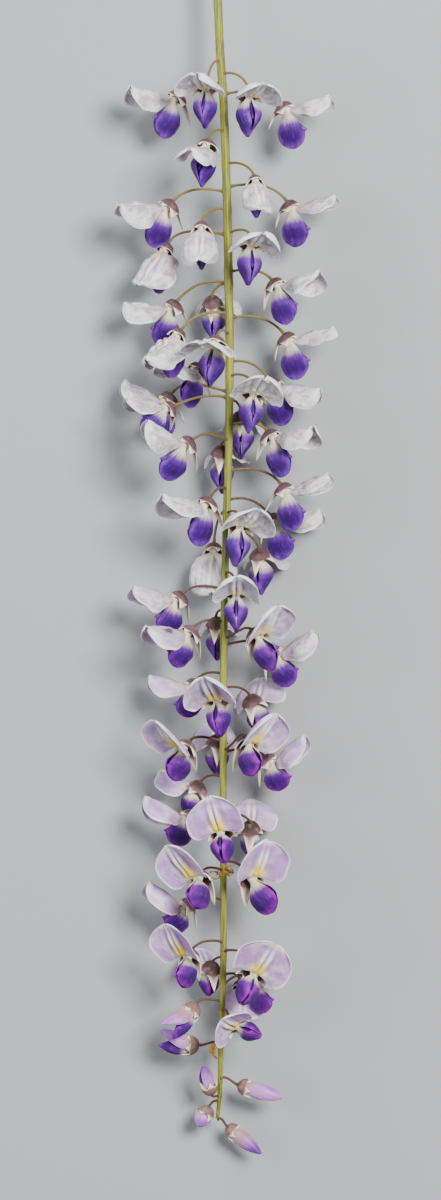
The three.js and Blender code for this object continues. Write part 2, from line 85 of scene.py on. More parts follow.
# Open flowers: root row, calyx column and row, height over the stalk, facing, rise of the banner and of the
# wings, fold of the banner in radians, size, roll. Facing is round the stalk from straight up, rise towards the
# cut end and roll about the calyx, all in degrees. Flower 01 comes first.
OPEN_FLOWERS = (
    (84, 180, 91, -5, -72, 24, -70, 0.9, 1.02, -10),
    (61, 207, 83, 9, -12, 26, -78, 0.9, 1.02, 0),
    (74, 248, 91, 10, 12, 24, -78, 0.9, 1.04, -8),
    (94, 281, 102, -3, 80, 30, -74, 0.9, 1.0, 0),
    (131, 208, 142, 9, -25, -4, -80, 1.0, 1.0, -8),
    (164, 254, 178, 8, 14, -48, -76, 1.35, 0.9, 0),
    (187, 287, 200, -6, 82, 30, -78, 0.8, 0.98, 0),
    (192, 173, 201, 1, -84, 14, -70, 0.9, 1.05, -24),
    (210, 202, 224, 8, -5, -48, -82, 1.2, 1.0, 0),
    (235, 168, 243, -5, -45, -48, -80, 0.9, 1.06, -12),
    (233, 250, 239, 11, 6, 24, -78, 0.9, 1.04, -9),
    (272, 272, 280, 2, 66, 30, -70, 0.9, 1.0, 0),
    (283, 177, 300, -7, -86, 16, -74, 0.9, 1.02, -12),
    (284, 212, 296, -8, 172, 20, -70, 0.9, 0.98, 0),
    (314, 181, 331, 6, -44, -34, -72, 1.1, 1.04, 0),
    (334, 217, 339, 14, -22, 12, -76, 0.8, 1.06, -8),
    (318, 284, 333, -4, 86, 32, -74, 1.0, 1.0, 0),
    (350, 199, 363, -8, -50, 20, -74, 0.9, 0.96, 0),
    (376, 253, 388, 12, 0, 34, -74, 0.8, 1.02, -14),
    (362, 270, 379, -5, 76, 6, -76, 1.2, 1.0, 12),
    (392, 171, 392, -14, -84, 42, -76, 0.7, 1.0, 0),
    (398, 174, 406, 3, -72, 18, -46, 0.7, 0.92, -10),
    (440, 193, 440, 12, -80, 44, -58, 1.1, 1.02, -20),
    (442, 221, 446, -10, 172, 16, -80, 0.9, 1.0, 0),
    (400, 241, 411, -6, 176, 8, -80, 0.9, 1.0, 0),
    (425, 267, 431, 4, 64, 24, -72, 1.0, 1.02, 10),
    (489, 210, 498, 10, -64, 22, -76, 0.8, 1.04, -4),
    (471, 281, 484, 0, 78, 38, -76, 1.0, 1.0, 0),
    (500, 270, 514, -11, 82, 28, -74, 0.9, 0.98, 0),
    (513, 239, 519, 12, 8, 38, -76, 0.8, 1.04, -16),
    (512, 214, 543, -15, -4, -60, -84, 0.8, 1.1, 0),
    (530, 259, 549, -6, 164, 14, -78, 0.9, 1.0, 0),
    (573, 236, 587, 12, 0, 36, -76, 0.9, 1.0, 0),
    (589, 183, 593, -1, -80, 30, -68, 0.9, 1.0, -12),
    (622, 194, 627, 6, -68, 20, -68, 0.9, 1.02, -16),
    (610, 216, 618, -9, 172, 24, -78, 0.9, 0.98, 0),
    (638, 252, 630, 9, 46, 50, -60, 0.7, 1.1, 14),
    (645, 269, 648, -7, 84, 46, -64, 0.9, 1.0, 12),
    (674, 197, 680, -6, -88, 28, -76, 0.9, 0.94, 0),
    (690, 218, 692, 12, -6, 40, -72, 0.8, 1.12, 11),
    (688, 250, 696, -6, 146, 46, -72, 0.5, 1.02, -20),
    (750, 245, 736, 9, 34, 52, -70, 0.7, 1.06, -10),
    (715, 217, 736, -10, 180, 40, -80, 0.8, 1.02, 0),
    (741, 189, 741, 4, -50, 46, -66, 0.7, 1.08, -3),
    (752, 264, 756, -4, 86, 58, -66, 0.9, 0.98, 10),
    (777, 200, 783, -9, -126, 30, -70, 0.6, 0.96, 0),
    (808, 194, 813, -3, -86, 40, -60, 1.0, 0.98, 0),
    (815, 221, 826, 12, -2, 66, -58, 0.35, 1.06, 14),
    (815, 250, 824, -8, 176, 48, -64, 0.45, 1.0, 0),
    (870, 202, 871, 9, -28, 62, -62, 0.45, 1.08, 26),
    (862, 248, 872, 9, 28, 64, -56, 0.5, 1.1, -3),
    (900, 192, 902, -5, -84, 48, -58, 0.9, 0.96, -10),
    (942, 192, 949, 7, -34, 60, -66, 0.5, 1.04, 8),
    (958, 212, 964, -8, 196, 0, -66, 0.6, 0.96, 0),
    (951, 256, 965, 11, -14, 64, -64, 0.4, 1.12, -35),
    (975, 249, 982, -4, 62, 84, -62, 0.8, 0.94, 0),
    (985, 240, 984, -13.8, 6, -50, -76, 0.6, 0.92, 0),
    (1010, 232, 1020, 9, 35, 45, -60, 0.5, 0.9, 60),
)

# Half-open flowers and buds: root row, calyx column and row, height over the stalk, facing, rise, length, the
# angle that the banner stands off, girth.
BUDS = (
    (1002, 196, 1004, 2, -58, -50, 17, 24, 1.4),
    (1044, 199, 1047, -2, -82, 2, 16, 18, 1.4),
    (1099, 212, 1097, 3, -60, 70, 12, 0, 1.0),
    (1080, 238, 1087, 0, 84, -16, 18, 0, 1.05),
    (1104, 209, 1110, -2, -60, -56, 9.0, 0, 1.2),
    (1122, 227, 1130, -1, 80, -38, 17.0, 0, 0.95),
)

# What sets single flowers apart from the others.
FORMS = {
    4: {"banner_half": 7.2, "banner_length": 12.8},
    7: {"banner_half": 6.6},
    17: {"banner_half": 6.4, "banner_length": 13.0},
    27: {"slim": 0.25, "keel_lift": 4.5},
    28: {"banner_half": 6.8},
    51: {"swing": 26.0, "wing_half": 5.4, "wing_length": 14.4},
    54: {"banner_turn": 30.0},
    58: {"swing": 28.0, "wing_half": 5.3},
}

# Facings that set the open flowers apart, in degrees from straight up: from the first one a flower shows its
# side, past the second one it looks down, and past the third one its calyx has thin teeth.
SIDE_TURN = 60.0
LEVEL_TURN = 90.0
BACK_TURN = 100.0

# The rise of a banner, in degrees, under which it hangs over its flower like a hood.
HOODED_RISE = -30.0

# A corner of each CAD flower's heart, given ahead, to the side and up, and how near to it, seen from above, a
# vertex has to be.
HEART_CORNER = (4.15, 1.5, 2.1)
HEART_NEAR = 0.06

# The teeth of a bud's calyx: angle from the banner's side, length, and outward lean in degrees.
BUD_TEETH = ((34, 1.2, 0), (108, 2.0, -4), (180, 3.4, 0), (252, 2.0, -4), (326, 1.2, 0))

# The layout rows between which flower stalks turn from green to red-brown, and how far a bud's has turned.
REDDENING_ROWS = (300, 760)
BUD_REDNESS = 0.8

# How near to the CAD stem's far end a vertex belongs to its cut.
CUT_NEAR = 0.5

# The buds with full round ends.
BLUNT_BUDS = (61, 62, 63)

# Of each bud, how much deeper its end is, and how tan its first half.
BUD_TONES = {59: (0.3, 0.75), 60: (0.5, 0.3), 61: (0.75, 0.0), 62: (0.1, 0.0), 63: (0.3, 0.25), 64: (0.95, 0.8)}

# The flower with a dark spot on its banner.
BRUISED_FLOWER = 35


# ---- Numbers ----


def smooth(x: Points | float, low: float, high: float) -> Points:
    """A soft step from 0 at low to 1 at high."""
    s = np.clip((np.asarray(x, float) - low) / (high - low), 0.0, 1.0)
    return s * s * (3.0 - 2.0 * s)


def mix(a: Points | float, b: Points | float, share: Points | float) -> Points:
    """The value between a and b at a share of the way."""
    return a + (b - a) * share


def bell(x: Points, middle: float, width: float) -> Points:
    """A bell curve of height 1."""
    return np.exp(-(((x - middle) / width) ** 2))


class Draw(IntEnum):
    """What a repeatable number is drawn for; waves and teeth count on from theirs."""

    FOLD_LEAN = 1
    STRAND_CURL = 2
    PLEATS = 4
    TONE = 5
    STRAND_LENGTH = 6
    AGE = 7
    REDNESS = 8
    STRAND_FALL = 9
    WING_GAP = 11
    TOOTH_LENGTH = 20
    RIM_WAVE = 20
    TOOTH_LEAN = 30
    CREASES = 45
    BANNER_EDGE = 60
    BANNER_TIP = 70
    WING_WAVE = 80
    WING_EDGE = 90


def chance(number: float, purpose: float) -> float:
    """A repeatable number from 0 to 1 for a flower's number and a purpose."""
    x = math.sin(number * 12.9898 + purpose * 78.233) * 43758.5453
    return x - math.floor(x)


def unit(v: Points) -> Points:
    """The vectors at length 1."""
    return v / np.maximum(np.linalg.norm(v, axis=-1, keepdims=True), 1e-9)


def turned(v: Points, axis: Points, angle: float) -> Points:
    """A vector turned about a unit axis by an angle in radians."""
    c, s = math.cos(angle), math.sin(angle)
    return v * c + np.cross(axis, v) * s + axis * np.dot(axis, v) * (1 - c)


# ---- Layout ----


@dataclass(frozen=True)
class Layout:
    """Turns layout rows and columns into places on the raceme, and those into the frame's metres.

    Attributes:
        shift: from the layout's millimetres to the frame's.
    """

    shift: Points

    @staticmethod
    def of_frame() -> "Layout":
        """The layout whose main stalk ends where the CAD stem's cut end is.

        Returns:
            The layout.
        """
        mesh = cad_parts["stem"].data
        place = np.array([v.co for v in mesh.vertices]) / MM
        end = np.unique(place[place[:, 1] > place[:, 1].max() - CUT_NEAR].round(3), axis=0)
        row, column, height, _ = MAIN_STALK[0]
        return Layout(end.mean(axis=0) - Layout.place(column, row, height))

    @staticmethod
    def place(column: float, row: float, height: float) -> Points:
        """A place in the layout grid as millimetres."""
        return np.array([(column - LAYOUT_X) * LAYOUT_STEP, (LAYOUT_Y - row) * LAYOUT_STEP, height])

    def metres(self, points: Points) -> Points:
        """Points of the layout in the frame's metres."""
        return (points + self.shift) * MM


@dataclass(frozen=True)
class MainLine:
    """The middle line of the main stalk."""

    @staticmethod
    def at(row: float) -> tuple[Points, float]:
        """The point on the stalk's middle, and its diameter, at a layout row.

        Args:
            row: the layout row, between the cut end's and the tip's.

        Returns:
            The point in millimetres and the diameter.
        """
        rows = [p[0] for p in MAIN_STALK]
        i = max(k for k in range(len(rows) - 1) if k == 0 or row >= rows[k])
        share = (row - rows[i]) / (rows[i + 1] - rows[i])
        known = [Layout.place(c, r, h) for r, c, h, _ in MAIN_STALK]
        a, b = known[i], known[i + 1]
        before = known[i - 1] if i else 2 * a - b
        after = known[i + 2] if i + 2 < len(known) else 2 * b - a
        u = share
        point = 0.5 * (
            2 * a + (b - before) * u + (2 * before - 5 * a + 4 * b - after) * u**2
            + (3 * a - before - 3 * b + after) * u**3
        )
        point[1] = Layout.place(0, row, 0)[1]
        return point, mix(MAIN_STALK[i][3], MAIN_STALK[i + 1][3], share)

    @staticmethod
    def beside(row: float, facing: float, out: Points, down: Points, past: Points) -> Points:
        """Points beside the stalk.

        Args:
            row: the layout row of the place on the stalk's middle that they are measured from.
            facing: their side of the stalk, in degrees from straight up.
            out: how far outward they are.
            down: how far towards the tip.
            past: how far round the stalk.

        Returns:
            The points in millimetres.
        """
        f = math.radians(facing)
        point, _ = MainLine.at(row)
        out, down, past = np.broadcast_arrays(out, down, past)
        away, across = np.array([math.sin(f), 0, math.cos(f)]), np.array([math.cos(f), 0, -math.sin(f)])
        to_tip = np.array([0, -1, 0])
        return point + out[..., None] * away + past[..., None] * across + down[..., None] * to_tip


@dataclass
class Stand:
    """Where a flower stands: its base and its own directions.

    Attributes:
        base: where the pedicel meets the calyx.
        ahead: the calyx's own direction.
        side: to the flower's right.
        up: towards the banner.
    """

    base: Points
    ahead: Points
    side: Points
    up: Points

    @staticmethod
    def facing(base: Points, facing: float, rise: float, roll: float = 0.0) -> "Stand":
        """A stand from angles in degrees.

        Args:
            base: where the pedicel meets the calyx.
            facing: which way the flower looks round the stalk, from straight up.
            rise: how far it looks towards the cut end.
            roll: its turn about its calyx.

        Returns:
            The stand.
        """
        f, e = math.radians(facing), math.radians(rise)
        ahead = np.array([math.sin(f) * math.cos(e), math.sin(e), math.cos(f) * math.cos(e)])
        side = turned(np.array([math.cos(f), 0.0, -math.sin(f)]), ahead, math.radians(roll))
        return Stand(base, ahead, side, np.cross(ahead, side))

    def placed(self, size: float, x: Points, y: Points, z: Points) -> Points:
        """Points given in the flower's own directions.

        Args:
            size: of the flower.
            x: how far ahead.
            y: how far to the side.
            z: how far up.

        Returns:
            The points in the layout's millimetres.
        """
        x, y, z = np.broadcast_arrays(x, y, z)
        return self.base + size * (
            x[..., None] * self.ahead + y[..., None] * self.side + z[..., None] * self.up
        )


# ---- Surfaces ----


@dataclass
class Surface:
    """A closed surface under construction.

    Attributes:
        points: its vertices in the layout's millimetres.
        faces: its faces, wound to face out.
        uv: two surface coordinates for each vertex.
        finishes: the number of the finish of each face.
        marks: other values for each vertex, by name.
    """

    points: Points
    faces: list[tuple[int, ...]]
    uv: Points
    finishes: list[int]
    marks: dict[str, Points] = field(default_factory=dict)

    @staticmethod
    def joined(parts: list["Surface"]) -> "Surface":
        """All the parts as one surface.

        Args:
            parts: the surfaces; a mark that one of them lacks is 0 there.

        Returns:
            The whole.
        """
        starts = np.cumsum([0] + [len(p.points) for p in parts])
        faces = [tuple(int(v + s) for v in f) for p, s in zip(parts, starts) for f in p.faces]
        names = {name for p in parts for name in p.marks}
        marks = {
            name: np.concatenate([p.marks.get(name, np.zeros(len(p.points))) for p in parts]) for name in names
        }
        return Surface(
            np.concatenate([p.points for p in parts]),
            faces,
            np.concatenate([p.uv for p in parts]),
            [f for p in parts for f in p.finishes],
            marks,
        )

    def marked(self, **marks: float) -> "Surface":
        """The surface with a value of its own for each name, the same all over."""
        self.marks.update({name: np.full(len(self.points), float(v)) for name, v in marks.items()})
        return self


def facing_out(points: Points, faces: list[tuple[int, ...]]) -> list[tuple[int, ...]]:
    """Winds the faces of a closed surface to face out.

    Args:
        points: its vertices.
        faces: its faces, all wound the same way.

    Returns:
        The faces.
    """
    origin = points.mean(axis=0)
    volume = 0.0
    for f in faces:
        p = points[list(f)] - origin
        for k in range(1, len(f) - 1):
            volume += float(np.dot(p[0], np.cross(p[k], p[k + 1])))
    return faces if volume > 0 else [f[::-1] for f in faces]


def sheet(middle: Points, t: Points, b: Points, thickness: Points | float, finish: int = 0) -> Surface:
    """A thin closed sheet about a grid of points.

    Args:
        middle: rows by columns by 3, the sheet's middle surface.
        t: how far along the sheet each point is, from 0 at its root.
        b: how far across it each point is, from -1 to 1.
        thickness: the same all over, or rows by columns.
        finish: the number of its finish.

    Returns:
        The surface, marked with its reverse side.
    """
    rows, cols = middle.shape[:2]
    along, across = np.gradient(middle, axis=0), np.gradient(middle, axis=1)
    normal = unit(np.cross(along, across))
    half = np.broadcast_to(thickness, t.shape)[..., None] / 2
    points = np.concatenate([(middle + normal * half).reshape(-1, 3), (middle - normal * half).reshape(-1, 3)])
    n = rows * cols
    index = np.arange(n).reshape(rows, cols)
    quads = np.stack([index[:-1, :-1], index[1:, :-1], index[1:, 1:], index[:-1, 1:]], axis=-1).reshape(-1, 4)
    rim = np.concatenate([index[0, :-1], index[:-1, -1], index[-1, :0:-1], index[:0:-1, 0]])
    after = np.roll(rim, -1)
    edge = np.stack([rim, after, after + n, rim + n], axis=-1)
    faces = [tuple(f) for f in np.concatenate([quads, quads[:, ::-1] + n, edge])]
    uv = np.stack([t, (b + 1) / 2], axis=-1).reshape(-1, 2)
    reverse = np.concatenate([np.zeros(n), np.ones(n)])
    faces = facing_out(points, faces)
    return Surface(points, faces, np.concatenate([uv, uv]), [finish] * len(faces), {"reverse": reverse})


def loft(rings: Points, along: Points, finish: int = 0) -> Surface:
    """A closed surface through rings of points, with a point in the middle of each end.

    Args:
        rings: rings by points by 3.
        along: the first surface coordinate of each ring.
        finish: the number of its finish.

    Returns:
        The surface.
    """
    count, sides = rings.shape[:2]
    points = np.concatenate([rings.reshape(-1, 3), rings[:1].mean(axis=1), rings[-1:].mean(axis=1)])
    index = np.arange(count * sides).reshape(count, sides)
    nxt = np.roll(index, -1, axis=1)
    faces = [tuple(q) for q in np.stack([index[:-1], nxt[:-1], nxt[1:], index[1:]], axis=-1).reshape(-1, 4)]
    first, last = count * sides, count * sides + 1
    faces += [(int(b), int(a), first) for a, b in zip(index[0], nxt[0])]
    faces += [(int(a), int(b), last) for a, b in zip(index[-1], nxt[-1])]
    around = np.tile(np.linspace(0, 1, sides, endpoint=False), count)
    uv = np.stack([np.repeat(along, sides), around], axis=-1)
    uv = np.concatenate([uv, [[along[0], 0.5], [along[-1], 0.5]]])
    faces = facing_out(points, faces)
    return Surface(points, faces, uv, [finish] * len(faces))


def grid(rows: Points, cols: Points) -> tuple[Points, Points]:
    """Row and column values at each point of a grid."""
    return np.meshgrid(rows, cols, indexing="ij")


def linked(name: str, data: bpy.types.ID) -> bpy.types.Object:
    """Adds an object to the scene.

    Args:
        name: the object's name.
        data: its mesh, lamp or camera.

    Returns:
        The object.
    """
    made = bpy.data.objects.new(name, data)
    bpy.context.scene.collection.objects.link(made)
    return made


@dataclass
class Maker:
    """Makes Blender objects out of surfaces and grown trees, and hands them to the frame.

    Attributes:
        layout: where the raceme lies.
    """

    layout: Layout

    def piece(self, name: str, surface: Surface, finishes: list[bpy.types.Material]) -> bpy.types.Object:
        """A mesh object in the frame's metres, with its surface coordinates and marks.

        Args:
            name: the object's name.
            surface: its surface.
            finishes: its materials, in the order of the finishes' numbers.

        Returns:
            The object.
        """
        mesh = bpy.data.meshes.new(name)
        mesh.from_pydata(self.layout.metres(surface.points).tolist(), [], surface.faces)
        for material in finishes:
            mesh.materials.append(material)
        mesh.polygons.foreach_set("material_index", surface.finishes)
        mesh.polygons.foreach_set("use_smooth", [True] * len(mesh.polygons))
        corners = np.zeros(len(mesh.loops), int)
        mesh.loops.foreach_get("vertex_index", corners)
        mesh.uv_layers.new(name="surface").data.foreach_set("uv", surface.uv[corners].ravel())
        for mark, values in surface.marks.items():
            mesh.attributes.new(mark, "FLOAT", "POINT").data.foreach_set("value", values)
        mesh.update()
        return linked(name, mesh)

    def lines(self, name: str, paths: list[Points], marks: dict[str, list[Points]]) -> bpy.types.Object:
        """A mesh of open lines for a tree to grow along.

        Args:
            name: the object's name.
            paths: the points of each line.
            marks: by name, a value for each point of each line.

        Returns:
            The object.
        """
        mesh = bpy.data.meshes.new(name)
        starts = np.cumsum([0] + [len(p) for p in paths])
        edges = [(int(s + k), int(s + k + 1)) for p, s in zip(paths, starts) for k in range(len(p) - 1)]
        mesh.from_pydata(self.layout.metres(np.concatenate(paths)).tolist(), edges, [])
        for mark, values in marks.items():
            mesh.attributes.new(mark, "FLOAT", "POINT").data.foreach_set("value", np.concatenate(values))
        return linked(name, mesh)

    @staticmethod
    def grown(
        source: bpy.types.Object, tree: "GrowthTree", keep: bool = False, **values: object
    ) -> bpy.types.Object:
        """The plain mesh that a tree grows from a source object.

        Args:
            source: what the tree reads; it is removed, unless kept.
            tree: the tree.
            keep: whether the source stays as a piece, and the result is a new one.
            **values: the tree's inputs, by name with spaces as underscores.

        Returns:
            The grown object.
        """
        modifier = source.modifiers.new(tree.name, "NODES")
        modifier.node_group = tree.group
        for key, value in values.items():
            modifier[tree.identifiers[key.replace("_", " ")]] = value
        source.update_tag()
        graph = bpy.context.evaluated_depsgraph_get()
        mesh = bpy.data.meshes.new_from_object(
            source.evaluated_get(graph), preserve_all_data_layers=True, depsgraph=graph
        )
        name = source.name
        source.modifiers.remove(modifier)
        if not keep:
            bpy.data.objects.remove(source)
            mesh.name = name
        return linked(tree.name if keep else name, mesh)

    @staticmethod
    def hand_in(piece: bpy.types.Object, slot: str, *nodes: str) -> None:
        """Rides a finished piece on the body.

        Args:
            piece: the piece.
            slot: not used.
            *nodes: the CAD nodes that it stands in for.
        """
        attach(piece, BODY)
        if nodes:
            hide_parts(*nodes)
        log.info("%s: %d faces", piece.name, len(piece.data.polygons))


# ---- Node trees ----

Socket = bpy.types.NodeSocket


@dataclass
class Sketch:
    """Adds nodes to a tree, linked as they are made.

    Attributes:
        tree: the node tree.
    """

    tree: bpy.types.NodeTree

    def node(self, kind: str, *inputs: object, **settings: object) -> bpy.types.Node:
        """Adds a node.

        Args:
            kind: its type.
            *inputs: what its live inputs are linked or set to, in order; None leaves one alone.
            **settings: its own settings.

        Returns:
            The node.
        """
        made = self.tree.nodes.new(kind)
        for key, value in settings.items():
            setattr(made, key, value)
        live = [s for s in made.inputs if s.enabled]
        for socket, value in zip(live, inputs):
            self.feed(socket, value)
        return made

    def feed(self, socket: Socket, value: object) -> None:
        """Links or sets one input.

        Args:
            socket: the input.
            value: an output to link, or a value; None leaves the input alone.
        """
        if isinstance(value, bpy.types.NodeSocket):
            self.tree.links.new(value, socket)
        elif value is not None:
            if socket.type == "RGBA" and len(value) == 3:
                value = (*value, 1.0)
            socket.default_value = value

    def fill(self, node: bpy.types.Node, **inputs: object) -> Socket:
        """Feeds inputs of a node by name.

        Args:
            node: the node.
            **inputs: what each is linked or set to, by its name with spaces as underscores.

        Returns:
            The node's first live output.
        """
        for key, value in inputs.items():
            self.feed(node.inputs[key.replace("_", " ")], value)
        return self.out(node)

    @staticmethod
    def out(node: bpy.types.Node) -> Socket:
        """The first live output of a node."""
        return next(s for s in node.outputs if s.enabled)

    def math(self, operation: str, a: object, b: object = None, c: object = None) -> Socket:
        """The result of a Math node."""
        kind = "ShaderNodeMath"
        return self.out(self.node(kind, a, b, c, operation=operation))

    def vector(self, x: object = 0.0, y: object = 0.0, z: object = 0.0) -> Socket:
        """A vector out of three numbers."""
        return self.out(self.node("ShaderNodeCombineXYZ", x, y, z))


@dataclass
class Paint(Sketch):
    """Shader nodes for a finish."""

    def mark(self, name: str) -> Socket:
        """A value that the surface carries."""
        node = self.node("ShaderNodeAttribute", attribute_type="GEOMETRY", attribute_name=name)
        return node.outputs["Fac"]

    def surface(self) -> tuple[Socket, Socket]:
        """The two surface coordinates.

        Returns:
            The one along the part, from 0 at its root, and the one across or round it, from 0 to 1.
        """
        uv = self.node("ShaderNodeUVMap", uv_map="surface")
        parts = self.node("ShaderNodeSeparateXYZ", uv.outputs["UV"])
        return parts.outputs["X"], parts.outputs["Y"]

    def times(self, a: object, b: object) -> Socket:
        """The product of two values."""
        return self.math("MULTIPLY", a, b)

    def line(self, value: object, slope: float, start: object) -> Socket:
        """A value times a slope, plus a start."""
        return self.math("MULTIPLY_ADD", value, slope, start)

    def most(self, a: Socket, b: Socket) -> Socket:
        """The larger of two values."""
        return self.math("MAXIMUM", a, b)

    def off_middle(self, across: Socket) -> Socket:
        """How far a place lies off a petal's middle line, up to 1 at its edges."""
        return self.math("ABSOLUTE", self.line(across, 2.0, -1.0))

    def step(self, value: object, low: float, high: float) -> Socket:
        """A soft step of a value, from 0 at low to 1 at high."""
        node = self.node("ShaderNodeMapRange", value, low, high, 0.0, 1.0, interpolation_type="SMOOTHSTEP")
        return node.outputs["Result"]

    def peak(self, value: object, middle: float, width: float) -> Socket:
        """A soft peak of height 1 about a middle value."""
        off = self.math("ABSOLUTE", self.math("SUBTRACT", value, middle))
        return self.step(off, width, 0.0)

    def layer(self, under: object, over: object, *shares: object) -> Socket:
        """One colour with another laid over it.

        Args:
            under: the colour below.
            over: the colour laid over it.
            *shares: how far it covers, as one value or several to be multiplied.

        Returns:
            The colour.
        """
        share = shares[0]
        for other in shares[1:]:
            share = self.times(share, other)
        node = self.tree.nodes.new("ShaderNodeMix")
        node.data_type = "RGBA"
        colours = [s for s in node.inputs if s.type == "RGBA"]
        self.feed(node.inputs[0], share)
        self.feed(colours[0], under)
        self.feed(colours[1], over)
        return next(s for s in node.outputs if s.type == "RGBA")

    def noise(self, place: Socket, scale: float, detail: float = 2.0, rough: float = 0.5) -> Socket:
        """Cloudy values about 0.5; detail counts the finer clouds over them, and rough is their strength."""
        node = self.node("ShaderNodeTexNoise", noise_dimensions="3D")
        return self.fill(node, Vector=place, Scale=scale, Detail=detail, Roughness=rough)

    def place(self, stretch: Colour = (1.0, 1.0, 1.0)) -> Socket:
        """Object coordinates in metres, stretched."""
        coordinates = self.node("ShaderNodeTexCoord").outputs["Object"]
        return self.node("ShaderNodeVectorMath", coordinates, stretch, operation="MULTIPLY").outputs["Vector"]

    def grain(self, across: Socket, width: float, along: Socket, length: float) -> Socket:
        """Coordinates for streaks that run along a petal, a set of its own for each flower."""
        return self.vector(self.times(across, width), self.times(along, length), self.mark("tone"))

    def bump(self, height: Socket, depth: float, strength: float) -> Socket:
        """A normal that shows a relief of a depth in metres."""
        return self.fill(self.node("ShaderNodeBump"), Strength=strength, Distance=depth, Height=height)


@dataclass(frozen=True)
class Finish:
    """A finish of living plant tissue.

    Attributes:
        name: the material's name.
        roughness: of the surface.
        glow: how much light the tissue lets through.
        sheen: of its fine velvet.
        gloss: how strongly it mirrors light.
        glow_reach: how far light goes in the tissue, in metres.
        glow_tint: how far each of red, green and blue goes, as shares of that.
        velvet: the roughness of the sheen.
    """

    name: str
    roughness: float = 0.55
    glow: float = 0.0
    sheen: float = 0.0
    gloss: float = 0.4
    glow_reach: float = 0.0012
    glow_tint: Colour = (1.0, 0.7, 0.9)
    velvet: float = 0.4

    def colour(self, paint: Paint) -> Socket:
        """The surface's colour, out of nodes that paint makes."""
        raise NotImplementedError

    def relief(self, paint: Paint) -> Socket | None:
        """The normal of the surface's relief, out of nodes that paint makes; a plain surface has none."""
        return None

    def material(self) -> bpy.types.Material:
        """The finish as a material, made once.

        Returns:
            The material.
        """
        known = bpy.data.materials.get(self.name)
        if known:
            return known
        made = bpy.data.materials.new(self.name)
        made.use_nodes = True
        paint = Paint(made.node_tree)
        values = {
            "Base Color": self.colour(paint),
            "Normal": self.relief(paint),
            "Roughness": self.roughness,
            "Subsurface Weight": self.glow,
            "Subsurface Radius": self.glow_tint,
            "Subsurface Scale": self.glow_reach,
            "Sheen Weight": self.sheen,
            "Sheen Roughness": self.velvet,
            "Specular IOR Level": self.gloss,
        }
        shader = made.node_tree.nodes["Principled BSDF"]
        for name, value in values.items():
            paint.feed(shader.inputs[name], value)
        return made


